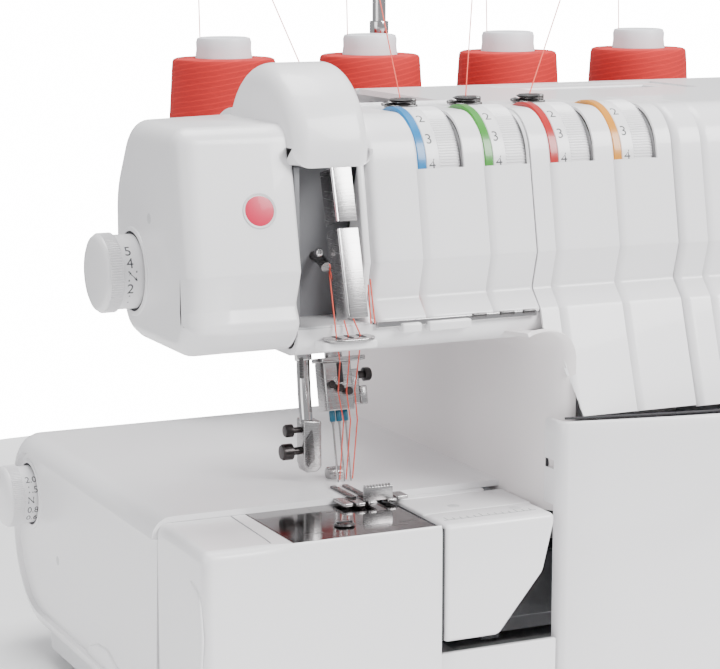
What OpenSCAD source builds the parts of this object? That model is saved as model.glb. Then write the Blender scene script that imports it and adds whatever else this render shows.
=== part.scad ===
// Serger overlock machine: free arm head over a flat bed, four thread tensions,
// three needles, thread cones on a rear stand under a telescopic guide pole.
// Most modules are drawn from the point where the needles meet the plate.

/* [Body] */
// Needle to the left face of the body
left_reach = 88; // [80:1:110]
// Needle to the right face of the body
right_reach = 262; // [250:1:320]
// Needle to the front face of the bed
bed_front = 70; // [64:1:80]
// Needle to the rear face of the bed
bed_back = 164; // [150:1:185]
// Needle to the rear face of the upper body
body_back = 130; // [122:1:148]
// Needle plate above the table
plate_height = 95; // [90:1:112]
// Top of the arm above the needle plate
arm_top = 150; // [146:1:170]
// Underside of the arm above the needle plate
arm_under = 67; // [62:1:70]
// Needle to the wall at the right of the throat
throat_reach = 57; // [52:1:64]
// Thickness of the plastic covers
wall = 2.5; // [2:0.1:3]
// Height of the rubber feet
foot_height = 6; // [4:0.5:9]

/* [Needles and foot] */
// Lean of the needle bar and the presser bar, top away from the user
bar_lean = 12.3; // [8:0.1:15]
// Distance between neighbouring needles
needle_pitch = 2.8; // [2.4:0.1:3]
// Radius of the needle bar
needle_bar_r = 3.6; // [3:0.1:4]
// Radius of the presser bar
presser_bar_r = 3.5; // [3:0.1:4]

/* [Thread tensions] */
// Distance between neighbouring tension dials
dial_pitch = 28.5; // [27:0.5:32]
// Radius of a tension dial
dial_r = 23.5; // [22:0.5:24]
// Width of a tension dial with its coloured ring
dial_w = 19; // [16:0.5:20]
// Radius of the stitch length dial
length_dial_r = 15; // [13:0.5:18]
// Radius of the feed dial
feed_dial_r = 13.5; // [12:0.5:16]

/* [Drive] */
// Radius of the main shaft
main_shaft_r = 5; // [4:0.5:6]
// Radius of the handwheel
handwheel_r = 31; // [28:1:34]
// Width of the handwheel
handwheel_w = 20; // [16:1:24]

/* [Thread stand] */
// Distance between neighbouring cones
cone_pitch = 73.5; // [68:1:80]
// Height of a cone core
cone_h = 112; // [100:1:120]
// Largest radius of a wound cone
cone_r = 29.5; // [26:0.5:32]
// Thread guide bar above the needle plate
guide_bar_z = 268; // [262:1:300]

/* [Hidden] */

$fn = 48;
run_gap = 0.06;          // radial clearance of a shaft in its bore
gap = 0.5;               // clearance between pieces that move past each other

cover_bottom = foot_height + 8 - plate_height;      // lower edge of the covers
cover_sweep = 16;        // how far the front cover sweeps forward to the right
cover_front = 66;        // needle to the front cover beside the throat
stand_back = 212;        // needle to the rear edge of the cone stand
knob_depth = 15;
needle = [(left_reach + knob_depth - right_reach - handwheel_w) / 2,
          (cover_front + cover_sweep - stand_back) / 2, plate_height];

arm_back = 47;           // needle to the rear of the arm
dial_y = -20;            // axis of the tension dials
dial_z = arm_top - 20.5;
first_dial = 10;         // left edge of the first dial's ring
dial_count = 4;
bank_right = first_dial + dial_count * dial_pitch - 2.5;
cover_top = 35;          // upper edge of the front cover
crease_z = 98;

plate_left = -52;
plate_right = 5.5;
plate_back = 13.5;
plate_t = 1.6;

cone_y = 167;
cone_x0 = 16;
cone_count = 4;
stand_z = 53;            // top of the cone stand
stand_t = 6;
pole_x = 110;
pole_y = 200;

shaft_y = 60;
shaft_z = -45;
motor_y = 108;
motor_z = -52;
arm_shaft_y = 20;
arm_shaft_z = 104;
arm_shaft_r = 4;
belt_x = 246;

lean_dir = [0, sin(bar_lean), cos(bar_lean)];

function arc(c, r, a0, a1, n = 8) =
    [for (i = [0:n]) let (a = a0 + (a1 - a0) * i / n) [c[0] + r * cos(a), c[1] + r * sin(a)]];

// Section of the head, inset by t; y then z.
function head_section(t) = concat(
    arc([-46, arm_under + 10], 10 - t, 180, 270, 4),
    arc([10, arm_under + 37], 37 - t, 270, 360, 10),
    arc([arm_back - 35, arm_top - 35], 35 - t, 0, 90, 10),
    arc([-36, arm_top - 10], 10 - t, 90, 167, 5),
    arc([-48, crease_z], 10 - t, 167, 180, 2));

// Section of the bed, inset by t; y then z.
function bed_section(t) = concat(
    [[-18, -t], [-18, cover_bottom + t]],
    arc([bed_back - 38, cover_bottom + 38], 38 - t, 270, 360, 8),
    arc([bed_back - 28, -28], 28 - t, 0, 90, 8));

// Outline of the front skin above the cover; y then z, from the bottom up.
function skin(low_z, shift) = concat(
    low_z < 70 ? [[-67 + shift, low_z], [-54 + shift, 76]] : [[-54 + shift, low_z]],
    [[-47.5 + shift, 84], [-51.5 + shift, crease_z]],
    arc([dial_y + shift, dial_z], arm_top + 1.5 - dial_z, 170, 90, 8),
    [[10, arm_top + 1.5]]);

// Closed band that follows a front skin, one wall thick.
module skin_band(low_z, shift) {
    outer = skin(low_z, shift);
    last = len(outer) - 1;
    inner = [for (i = [0:last]) let (p = outer[last - i])
        [p[0] + (p[1] > arm_top ? 0 : wall), p[1] - (p[1] > dial_z + 8 ? wall : 0)]];
    polygon(concat(outer, inner));
}

module at_needle() { translate(needle) children(); }

// Extrude a y,z drawing along X, an x,z drawing along Y.
module along_x(x0, x1) { translate([x0, 0, 0]) rotate([90, 0, 90]) linear_extrude(x1 - x0) children(); }
module along_y(y0, y1) { translate([0, y1, 0]) rotate([90, 0, 0]) linear_extrude(y1 - y0) children(); }

module box(a, b) { translate(a) cube(b - a); }
module rod_x(x0, x1, y, z, r) { translate([x0, y, z]) rotate([0, 90, 0]) cylinder(h = x1 - x0, r = r); }
module rod_y(y0, y1, x, z, r) { translate([x, y0, z]) rotate([-90, 0, 0]) cylinder(h = y1 - y0, r = r); }
module rod_z(z0, z1, x, y, r) { translate([x, y, z0]) cylinder(h = z1 - z0, r = r); }

// A straight round bar from point a to point b.
module bar(a, b, r) {
    d = b - a;
    len_d = norm(d);
    translate(a)
        rotate([0, acos(d[2] / len_d), atan2(d[1], d[0])])
            cylinder(h = len_d, r = r);
}

// Rounded rectangle from corner a to corner b.
module rounded(a, b, r) {
    polygon(concat(
        arc([b[0] - r, a[1] + r], r, 270, 360, 6), arc([b[0] - r, b[1] - r], r, 0, 90, 6),
        arc([a[0] + r, b[1] - r], r, 90, 180, 6), arc([a[0] + r, a[1] + r], r, 180, 270, 6)));
}

// Plan of the front cover: outer edge from left to right, swept forward to the right.
cover_left = throat_reach + 1.5;
function cover_y(x) = -cover_front - cover_sweep * sin(90 * min(1, max(0, (x - cover_left) / 110)));
flange_back = -50;       // rear edge of the cover where it wraps into the throat
cover_plan_n = 12;
cover_plan = [for (i = [0:cover_plan_n])
    let (x = cover_left + (right_reach - 14 - cover_left) * i / cover_plan_n) [x, cover_y(x)]];
cover_corner = arc([right_reach - 14, cover_y(right_reach) + 14], 14, 270, 360, 6);

module base_pan() color("gainsboro") at_needle() {
    difference() {
        translate([0, 0, foot_height - plate_height])
            linear_extrude(8)
                rounded([1 - left_reach, 1 - bed_front], [right_reach - 1, bed_back - 34], 14);
        translate([0, 0, foot_height - plate_height + 3])
            linear_extrude(8)
                rounded([5 - left_reach, 5 - bed_front], [right_reach - 5, bed_back - 38], 10);
    }
    for (x = pan_lugs)
        difference() {
            union() {
                rod_x(x, x + lug_w, hinge_y, hinge_z, lug_r);
                box([x, hinge_y, hinge_z - lug_r], [x + lug_w, 4 - bed_front, hinge_z + lug_r]);
            }
            rod_x(x - 1, x + lug_w + 1, hinge_y, hinge_z, rod_r + run_gap);
        }
}

// Hinge of the front cover: lugs on the cover and lugs on the pan share one sliding rod.
hinge_y = -72.5;
hinge_z = cover_bottom + 2;
rod_r = 2;
lug_r = 3.6;
lug_w = 8;
cover_slide = 8;
cover_lugs = [114, 214];
pan_lugs = [for (x = cover_lugs) x + lug_w + cover_slide + 4];

module rubber_feet() color("dimgray") at_needle()
    for (x = [22 - left_reach, right_reach - 22], y = [24 - bed_front, bed_back - 60])
        rod_z(-plate_height, foot_height - plate_height, x, y, 11);

frame_x = [66, 232];     // left faces of the two upright webs
frame_t = 8;
module frame_casting() color("silver") at_needle() difference() {
    union() {
        box([-70, 30, cover_bottom + 1], [right_reach - 10, 118, cover_bottom + 7]);
        for (x = frame_x)
            box([x, 6, cover_bottom + 7], [x + frame_t, 118, arm_top - 6]);
        box([-44, 31.5, 88], [frame_x[0], 37.5, arm_top - 24]);
        box([-24, 8, 74], [12, 26, 80]);
        box([-24, 8, 112], [12, 32, 118]);
        box([-24, 22, 78], [-19, 32, 118]);
        box([-70, 30, cover_bottom + 7], [-62, 118, -12]);
    }
    rod_x(-80, right_reach, shaft_y, shaft_z, main_shaft_r + run_gap);
    rod_x(5, right_reach, arm_shaft_y, arm_shaft_z, arm_shaft_r + run_gap);
    rod_x(60, right_reach, motor_y, motor_z, 5);
    leaning([0, 0, 0]) cylinder(h = 180, r = needle_bar_r + run_gap);
    leaning([-12, 2.6, 0]) cylinder(h = 180, r = presser_bar_r + run_gap);
    for (x = frame_x) box([x - 1, 66, 10], [x + frame_t + 1, 110, 130]);
}

module leaning(p) { translate(p) rotate([-bar_lean, 0, 0]) children(); }

module bed_shell() color("whitesmoke") at_needle() difference() {
    union() {
        difference() {
            along_x(-left_reach, throat_reach) polygon(bed_section(0));
            along_x(wall - left_reach, throat_reach + 1) polygon(bed_section(wall));
            box([wall - left_reach, -19, cover_bottom + wall], [throat_reach + 1, -17, -wall]);
        }
        box([8, -26, -5], [47, -18, 0]);
    }
    box([plate_left - 0.3, -30, -wall], [plate_right + 0.3, plate_back + 0.3, 1]);
    box([-40, -19, -wall - 1], [54, 4, 1 - wall]);
    rod_x(-left_reach - 1, 1 + wall - left_reach, 141, -25, feed_dial_r + 0.8);
    rod_x(-left_reach - 1, 1 + wall - left_reach, 103, -46, 2.4);
    box([-80, -17, cover_bottom - 1], [throat_reach + 1, 122, cover_bottom + wall + 1]);
}

module throat_liner() color("gainsboro") at_needle() difference() {
    union() {
        box([throat_reach + 0.3, -50, arm_under - 1], [throat_reach + wall, 60, arm_under + 6]);
        box([throat_reach + 0.3, -30, -60], [throat_reach + wall, body_back - wall, arm_under - 1]);
        box([throat_reach + 0.3, flange_back + 0.7, 0], [throat_reach + wall, -30, arm_under - 1]);
        box([throat_reach + 0.3, -60, cover_top + 4], [throat_reach + wall, flange_back + 0.7, arm_under - 1]);
    }
    rod_x(throat_reach - 5, throat_reach + 5, shaft_y, shaft_z, main_shaft_r + 4);
}

module rear_cover() color("whitesmoke") at_needle() difference() {
    union() {
        box([throat_reach + wall + 0.3, body_back - wall, 0.3], [right_reach, body_back, arm_top - 12]);
        box([throat_reach + wall + 1.5, 10.3, arm_top - wall], [right_reach, body_back - 12, arm_top]);
        along_x(throat_reach + wall + 0.3, right_reach) difference() {
            polygon(concat([[body_back - 12, arm_top - 12]],
                arc([body_back - 12, arm_top - 12], 12, 0, 90, 6)));
            polygon(concat([[body_back - 12, arm_top - 12]],
                arc([body_back - 12, arm_top - 12], 12 - wall, 0, 90, 6)));
        }
        box([right_reach - wall, -38, cover_bottom + 0.5],
            [right_reach, body_back - wall, arm_top - 12]);
        box([throat_reach + wall + 0.3, body_back - wall, cover_bottom + 0.5],
            [right_reach, body_back, 0.3]);
        box([right_reach - wall, 1 - cover_front, cover_bottom + 0.5], [right_reach, -38, cover_top]);
        box([handle_x0 - 4, handle_y - 6, arm_top - 24], [handle_x1 + 4, handle_pivot_y + 8, arm_top]);
    }
    difference() {
        box([handle_x0 - 2, handle_y - 4, arm_top - 22], [handle_x1 + 2, handle_pivot_y + 6, arm_top + 1]);
        for (x = [handle_x0 - 3, handle_x1 - 5]) rod_x(x, x + 8, handle_pivot_y, handle_z + 3, 1.5);
    }
    rod_x(right_reach - 9, right_reach + 9, shaft_y, shaft_z, main_shaft_r + 2);
    box([right_reach - 9, 92, -60], [right_reach + 1, 116, -44]);
    box([right_reach - 9, 92, -38], [right_reach + 1, 112, -26]);
    for (i = [0:7])
        box([150 + 10 * i, body_back - 9, -60], [154 + 10 * i, body_back + 1, -30]);
    box([lifter_x - 4, body_back - 9, 40], [lifter_x + 8, body_back + 1, 112]);
}

recess = [-43, -15];     // left and right edges of the take-up recess
head_right = -12;
head_end_back = 20;      // rear of the head at its left end, where the rear face slants in
module head_plan(t) translate([0, 0, 50]) linear_extrude(120)
    polygon([[-left_reach - 1, -80], [head_right + 2, -80], [head_right + 2, 60],
        [-40, arm_back + 1 - t], [-left_reach - 1, head_end_back - 1 - t]]);
module head_shell() color("whitesmoke") at_needle() difference() {
    intersection() {
        along_x(-left_reach, head_right) polygon(head_section(0));
        head_plan(0);
    }
    intersection() {
        along_x(wall - left_reach, head_right + 1) polygon(head_section(wall));
        head_plan(wall);
    }
    box([recess[0], -70, 60], [head_right + 1, -30, arm_top + 1]);
    box([-34, -20, 60], [head_right + 1, 26, arm_under + 12]);
    rod_x(-left_reach - 1, 1 + wall - left_reach, 0, 93, length_dial_r + 0.8);
    rod_x(-left_reach - 1, 1 + wall - left_reach, -19, 115, 2.4);
    box([recess[0], -31, arm_top - wall - 1], [head_right + 1, 14.5, arm_top + 1]);
}

module arm_shell() color("whitesmoke") at_needle() difference() {
    along_x(head_right + 0.2, throat_reach + 3.2) polygon(head_section(0));
    along_x(head_right, throat_reach + 4) polygon(head_section(wall));
    box([head_right - 1, -70, 78], [throat_reach + 4, 10.2, arm_top + 5]);
    box([head_right - 1, -70, arm_under - 1], [throat_reach + 4, -46, 80]);
    box([head_right - 1, -20, 60], [22, 26, arm_under + 12]);
    box([throat_reach, -47, 40], [throat_reach + 5, 62, arm_under + 7]);
    box([throat_reach, -47, 40], [throat_reach + 5, 40, arm_under + 40]);
}

module tension_panel() color("whitesmoke") at_needle() difference() {
    union() {
        along_x(head_right + 0.2, throat_reach + 3.4) skin_band(74, 0);
        along_x(throat_reach + 3.4, bank_right) skin_band(cover_top + 1, 0);
        along_x(bank_right - 3, bank_right) skin_band(cover_top + 1, -1.5);
    }
    for (i = [0:dial_count - 1]) translate([first_dial + i * dial_pitch, 0, 0]) {
        rod_x(-gap, dial_w + gap, dial_y, dial_z, dial_r + gap);
        box([-3, -90, cover_top], [0, -54.4, crease_z]);
    }
}

module right_panel() color("whitesmoke") at_needle() {
    along_x(bank_right + 0.2, right_reach) skin_band(cover_top + 1, right_shift);
    along_x(right_reach - wall, right_reach) intersection() {
        polygon(concat(skin(cover_top + 1, right_shift), [[10, cover_top + 1]]));
        box2([-100, 0], [-38.3, arm_top + 9]);
    }
}
right_shift = -5;

dome_y = -20;
dome_z = arm_top - 13;
dome_r = 34;
module take_up_dome() color("white") at_needle() difference() {
    union() {
        rod_x(recess[0] + 0.3, recess[1] - 1, dome_y, dome_z, dome_r);
    }
    rod_x(recess[0] + wall + 0.3, recess[1] - 1 - wall, dome_y, dome_z, dome_r - wall);
    box([recess[0] - 1, -60, 60], [0, 60, dome_z - 2]);
    box([recess[0] - 1, 14.2, 60], [0, 60, arm_top + 0.3]);
}

side_axis = [4 - left_reach, -23];
corner_r = 5;
module side_cover() color("whitesmoke") at_needle() {
    corner = [corner_r - left_reach, corner_r - bed_front];
    difference() {
        union() {
            translate([0, 0, cover_bottom + 0.5]) linear_extrude(-cover_bottom - 0.5)
                polygon(concat([[-left_reach, side_axis[1]]], arc(corner, corner_r, 180, 270, 6),
                    [[8, -bed_front], [8, wall - bed_front]],
                    arc(corner, corner_r - wall, 270, 180, 6), [[wall - left_reach, side_axis[1]]]));
            translate([0, 0, -wall]) linear_extrude(wall)
                polygon(concat([[-left_reach, side_axis[1]]], arc(corner, corner_r, 180, 270, 6),
                    [[plate_left - gap, -bed_front], [plate_left - gap, side_axis[1] - gap]]));
            rod_z(-60, -20, side_axis[0], side_axis[1], 3.4);
        }
        rod_z(-61, -19, side_axis[0], side_axis[1], 1.5 + run_gap);
        for (z = bracket_z)
            box([-left_reach - 1, side_axis[1] - 5, z - gap], [side_axis[0] + 6, 0, z + 4 + gap]);
        box([plate_left - gap, -bed_front - 1, -3], [20, 0, 1]);
    }
}
bracket_z = [-67, -18];
module box2(a, b) { translate(a) square(b - a); }

// Pins that the side cover, the take-up lever and the loopers turn on, with their brackets.
module hinge_pins() color("silver") at_needle() {
    rod_z(-66, -15, side_axis[0], side_axis[1], 1.5);
    for (z = bracket_z)
        box([side_axis[0] - 1, side_axis[1] - 1, z], [side_axis[0] + 2, -12, z + 4]);
    rod_y(-22, 30, looper_x, looper_z, 3);
    box([looper_x - 8, 14, cover_bottom + 7], [looper_x + 8, 29.5, looper_z + 8]);
    rod_x(-30, -22, lever_y, lever_z, 3);
    rod_x(10, 22, knife_y, knife_z, 2.5);
    box([19, knife_y - 5, knife_z - 5], [22, 29.8, knife_z + 5]);
}

module front_cover() color("white") at_needle() difference() {
    union() {
        translate([0, 0, cover_bottom + 0.5]) linear_extrude(cover_top - cover_bottom - 0.5)
            polygon(concat(cover_plan, cover_corner,
                arc([right_reach - 14, cover_y(right_reach) + 14], 14 - wall, 360, 270, 6),
                [for (i = [cover_plan_n:-1:0]) cover_plan[i] + [0, wall]]));
        box([cover_left, -cover_front, 2], [cover_left + wall, flange_back, cover_top - 4]);
        box([9, -cover_front, cover_bottom + 0.5], [cover_left + 1, wall - cover_front, -51.5]);
        for (x = cover_lugs) {
            box([x, cover_y(x) + 1, hinge_z - 3], [x + lug_w, hinge_y, hinge_z + 3]);
            rod_x(x, x + lug_w, hinge_y, hinge_z, lug_r - 0.1);
        }
    }
    rod_x(cover_left - 1, cover_left + wall + 1, flange_back, 16, 6);
    for (x = cover_lugs) rod_x(x - 1, x + lug_w + 1, hinge_y, hinge_z, rod_r + run_gap);
}

module cover_rod() color("silver") at_needle()
    rod_x(cover_lugs[0] - 2, pan_lugs[1] + lug_w + 2, hinge_y, hinge_z, rod_r);

table_front = -bed_front;
module chain_table() color("white") at_needle() difference() {
    union() {
        along_y(table_front, -50) polygon(concat([[9, 0], [9, -46], [33, -46], [52, -23]],
            [[throat_reach, -3], [throat_reach, 0]]));
        box([9, -50, -3], [throat_reach, -26.5, 0]);
        box([10, -53, -50.5], [52.5, -50, -3]);
    }
    along_y(table_front + wall, -53) polygon([[9 + wall, -3], [9 + wall, -46 + wall], [31.5, -46 + wall],
        [49.5, -23], [throat_reach - wall, -3]]);
}

module needle_plate() color("silver") at_needle() difference() {
    union() {
        box([plate_left, 1 - bed_front, -plate_t], [plate_right, plate_back, 0]);
        box([plate_left + 3, wall - bed_front + 1, -9], [plate_right - 2, 5.5 - bed_front, -plate_t]);
        box([-30, plate_back - 4, -9], [-16, plate_back, -plate_t]);
    }
    for (s = plate_screw_at) rod_z(-12, 1, s[0], s[1], 2.1);
    box([-11.2, -13, -5], [-6.8, 11, 1]);
    box([-4, -28, -5], [4, -12, 1]);
    box([-4.6, -2.8, -5], [4.6, 1.4, 1]);
    rod_z(-3, 1, plate_right + 0.5, -26, 3.5);
}
plate_screw_at = [[-27, 6], [-25, -54]];

module plate_screws() color("silver") at_needle() for (s = plate_screw_at) difference() {
    union() {
        rod_z(0.05, 1.4, s[0], s[1], 4);
        rod_z(-8, 0.05, s[0], s[1], 2);
    }
    box([s[0] - 3.4, s[1] - 0.5, 0.8], [s[0] + 3.4, s[1] + 0.5, 2]);
}

guard_lean = 15.9;
module take_up_guard() color("silver") at_needle()
    translate([-30.5, -53.5, dome_z - 2.5]) rotate([-guard_lean, 0, 0]) difference() {
        union() {
            box([0, -1.2, -55], [8, 0, 0]);
            box([0, 0, -55], [1.2, 10, 0]);
        }
        box([-1, -2, -22.5], [9, 11, -20]);
    }

lever_y = -12;
lever_z = 96;
module take_up_lever() color("darkgray") at_needle() difference() {
    union() {
        rod_x(-28, -24, lever_y, lever_z, 6);
        box([-28, -40, lever_z - 2.5], [-24, lever_y, lever_z + 2.5]);
        rod_x(-28, -24, -40, lever_z, 2.5);
    }
    rod_x(-29, -23, lever_y, lever_z, 3 + run_gap);
    rod_x(-29, -23, -39.5, lever_z, 1);
}

module thread_guide_plate() color("silver") at_needle() difference() {
    translate([0, 0, 71]) linear_extrude(1) difference() {
        rounded([-34, -62], [-14, -50], 5.9);
        for (x = [-29, -24, -19]) translate([x, -56]) square([1.6, 7], center = true);
    }
}

module arm_rail() color("silver") at_needle() {
    box([-12, -54, 71.5], [throat_reach - 1, -47, 72.7]);
    box([-12, -54, 72.7], [throat_reach - 1, -53, 73.8]);
}

module badge() color("crimson") at_needle()
    translate([-58, -52.8, 121]) rotate([90 - 13, 0, 0]) cylinder(h = 1.2, r = 6.5);

module knob(r_cap, r_ring, depth, wall_x) {
    rod_x(-wall_x - depth, -wall_x - depth + 9, 0, 0, r_cap);
    rod_x(-wall_x - depth + 9, -wall_x + 1.5, 0, 0, r_ring);
    rod_x(-wall_x + 1.5, -wall_x + 24, 0, 0, 4);
}
module stitch_length_dial() color("whitesmoke") at_needle()
    translate([0, 0, 93]) knob(length_dial_r, length_dial_r - 0.6, knob_depth, left_reach);
module feed_dial() color("whitesmoke") at_needle()
    translate([0, 141, -25]) knob(feed_dial_r, feed_dial_r - 0.6, knob_depth - 2, left_reach);

module tension_dial(i, ring_color) at_needle() translate([first_dial + i * dial_pitch, 0, 0]) {
    color(ring_color) difference() {
        rod_x(0.2, 4.2, dial_y, dial_z, dial_r);
        rod_x(-1, 6, dial_y, dial_z, tension_shaft_r + run_gap);
    }
    color("white") difference() {
        rod_x(4.2, dial_w, dial_y, dial_z, dial_r - 0.4);
        rod_x(2, dial_w - 3, dial_y, dial_z, dial_r - 4);
        rod_x(0, dial_w + 1, dial_y, dial_z, tension_shaft_r + run_gap);
    }
}
tension_shaft_r = 4;
module tension_dial_1() tension_dial(0, "deepskyblue");
module tension_dial_2() tension_dial(1, "limegreen");
module tension_dial_3() tension_dial(2, "firebrick");
module tension_dial_4() tension_dial(3, "gold");
module tension_shaft() color("silver") at_needle()
    rod_x(first_dial - 8, bank_right - 3.4, dial_y, dial_z, tension_shaft_r);

module pretension_guides() color("silver") at_needle() for (i = [0:dial_count - 2])
    translate([guide_x(i), 0, 0]) {
        box([-6, -9.5, arm_top + 1.5], [6, -1.5, arm_top + 2.5]);
        rod_z(arm_top + 2.5, arm_top + 5, 0, pretension_y, 3.6);
    }

module presser_bar() color("silver") at_needle() {
    difference() {
        leaning([-12, 2.6, 0]) translate([0, 0, 27]) cylinder(h = 98, r = presser_bar_r);
        box([-20, -20, 0], [0, 20, 25.5]);
    }
    box([-16, 4, 6.5], [-7.8, 12, 28]);
    box([-19, 6, 11], [-16, 10, 26]);
}

sole_z = 0.8;
module presser_foot() color("silver") at_needle() difference() {
    union() {
        box([-16, -34, sole_z], [-5.5, 12, 2.4]);
        box([-5.5, -34, sole_z], [14, -5, 2.4]);
        box([-5.5, 6, sole_z], [10, 12, 2.4]);
        box([-4, 5, 2.2], [2, 11, 6]);
        rod_x(-4, 2, 8, 4.5, 3);
        box([6, -31, 2.2], [14, -29.8, 6.5]);
    }
    rod_x(-20, 20, 8, 4.5, 1.2 + run_gap);
}

module foot_screws() color("dimgray") at_needle() {
    rod_x(-26, -19, 8, 15, 3.2);
    rod_x(-23, -19, 8, 23, 2.4);
}

module needle_bar() color("silver") at_needle()
    leaning([0, 0, 0]) translate([0, 0, 38]) cylinder(h = 84, r = needle_bar_r);

module needle_clamp() color("silver") at_needle() leaning([0, 0, 0]) difference() {
    union() {
        box([-6.9, -5, 31], [7.5, 5, 52]);
        box([7.5, -3, 33], [12, 3, 40]);
        box([7.5, -3, 44], [12, 3, 50]);
        box([-8, -6, 51], [12, 6, 52.5]);
    }
    translate([0, 0, 37.9]) cylinder(h = 40, r = needle_bar_r);
    for (i = [-1:1]) translate([i * needle_pitch, 0, 30]) cylinder(h = 8, r = 1.02);
}

module needles() color("gainsboro") at_needle() leaning([0, 0, 0]) for (i = [-1:1])
    translate([i * needle_pitch, 0, 0]) {
        rotate_extrude() polygon([[0, 0], [0.45, 4], [0.45, 25], [1, 27], [1, 37.5], [0, 37.5]]);
    }

module needle_screws() color("black") at_needle() leaning([0, 0, 0]) {
    for (i = [-1:1]) rod_y(-7, -5, i * 3.6 - 1, 40 - 1.5 * i, 1.5);
    rod_x(12, 14.5, 0, 47, 2.4);
}

lifter_x = 119;
lifter_y = 100;
lifter_z = 62;
module presser_lifter() color("whitesmoke") at_needle() difference() {
    union() {
        rod_x(lifter_x, lifter_x + 6, lifter_y, lifter_z, 7);
        box([lifter_x, lifter_y, lifter_z - 4], [lifter_x + 6, body_back + 22, lifter_z + 4]);
        rod_x(lifter_x, lifter_x + 8, body_back + 22, lifter_z, 6);
    }
    rod_x(lifter_x - 1, lifter_x + 7, lifter_y, lifter_z, 3);
}

module handwheel() color("whitesmoke") at_needle() difference() {
    union() {
        rod_x(right_reach + 1, right_reach + handwheel_w - 4, shaft_y, shaft_z, handwheel_r);
        rod_x(right_reach + handwheel_w - 4, right_reach + handwheel_w, shaft_y, shaft_z, handwheel_r - 4);
    }
    rod_x(right_reach - 1, right_reach + handwheel_w - 5.9, shaft_y, shaft_z, main_shaft_r + 0.02);
    rod_x(right_reach, right_reach + 8, shaft_y, shaft_z, handwheel_r - 5);
}

pulley_r = 25;
small_pulley_r = 10;
module main_shaft() color("silver") at_needle() {
    rod_x(-76, right_reach + handwheel_w - 6, shaft_y, shaft_z, main_shaft_r);
    difference() {
        rod_x(belt_x - 5, belt_x + 5, shaft_y, shaft_z, pulley_r + 1.5);
        rod_x(belt_x - 3, belt_x + 3, shaft_y, shaft_z, pulley_r + 3);
    }
    rod_x(belt_x - 3, belt_x + 3, shaft_y, shaft_z, pulley_r);
    for (x = [20, 100]) translate([0, 2, 1.5]) rod_x(x, x + 8, shaft_y, shaft_z, 10);
}

// A loop round two circles given by their centres and radii; y then z.
module loop_outline(c1, r1, c2, r2) {
    d = c2 - c1;
    base = atan2(d[1], d[0]);
    open = acos((r1 - r2) / norm(d));
    polygon(concat(arc(c1, r1, base + open, base + 360 - open, 20), arc(c2, r2, base - open, base + open, 12)));
}

module drive_belt() color("dimgray") at_needle() along_x(belt_x - 2.5, belt_x + 2.5) difference() {
    loop_outline([shaft_y, shaft_z], pulley_r + 2.6, [motor_y, motor_z], small_pulley_r + 2.6);
    loop_outline([shaft_y, shaft_z], pulley_r + 0.4, [motor_y, motor_z], small_pulley_r + 0.4);
}

module motor() color("slategray") at_needle() difference() {
    union() {
        rod_x(150, 225, motor_y - 6, motor_z + 6, 21);
        rod_x(225, 229, motor_y - 6, motor_z + 6, 12);
    }
    rod_x(159, 231, motor_y, motor_z, 3 + run_gap);
}

module motor_pulley() color("silver") at_needle() {
    rod_x(160, belt_x + 3.5, motor_y, motor_z, 3);
    rod_x(belt_x - 3, belt_x + 3, motor_y, motor_z, small_pulley_r);
}

module arm_shaft() color("silver") at_needle() {
    rod_x(8, 244, arm_shaft_y, arm_shaft_z, arm_shaft_r);
    rod_x(40, 50, arm_shaft_y, arm_shaft_z, 10);
}

looper_x = 30;
looper_z = -58;
module looper(y0, tip, thick) {
    rod_y(y0, y0 + thick, looper_x, looper_z, 7);
    translate([0, y0 + thick, 0]) rotate([90, 0, 0]) linear_extrude(thick)
        polygon([[looper_x - 5, looper_z], [looper_x + 5, looper_z], [looper_x + 3, tip[1] + 4],
            [tip[0], tip[1] + 2], [tip[0], tip[1]], [looper_x - 4, tip[1] - 5]]);
}
module lower_looper() color("silver") at_needle() difference() {
    looper(-8, [9, -20], 5);
    rod_y(-20, 20, looper_x, looper_z, 3 + run_gap);
}
module upper_looper() color("silver") at_needle() difference() {
    looper(-18, [12, -14], 5);
    rod_y(-20, 20, looper_x, looper_z, 3 + run_gap);
}
// Row of feed teeth from y0 to y1, centred on x.
module teeth(x, w, y0, y1) {
    box([x - w, y0, -6], [x + w, y1, -0.2]);
    for (y = [y0 + 0.6:3:y1 - 1.6]) box([x - w, y, -0.2], [x + w, y + 1.4, 0.5]);
}
module feed_dogs() color("darkgray") at_needle() {
    teeth(-9, 1.6, -10, 8);
    teeth(0, 3, -25, -15);
    box([-11, -25, -10], [-7, 24, -6]);
    box([-7, -25, -10], [3, -21, -6]);
}

knife_y = 24;
knife_z = -34;
module upper_knife() color("silver") at_needle() difference() {
    union() {
        rod_x(12, 18, knife_y, knife_z, 5.5);
        box([12, 4, knife_z - 3], [18, knife_y, knife_z + 3]);
        box([12, 4, knife_z + 3], [14, 12, -8]);
    }
    rod_x(11, 19, knife_y, knife_z, 2.5 + run_gap);
}

module lamp() color("lightyellow") at_needle() {
    box([24, -20, arm_under - 2], [44, -8, arm_under - 0.2]);
}

module power_switch() color("black") at_needle()
    along_x(right_reach - 6, right_reach + 1.5) polygon([[93, -37], [111, -37], [111, -27], [93, -27]]);

module inlet_socket() color("black") at_needle() difference() {
    box([right_reach - 12, 92.5, -59.5], [right_reach + 1, 115.5, -44.5]);
    box([right_reach - 8, 95, -57], [right_reach + 2, 113, -47]);
}

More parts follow.
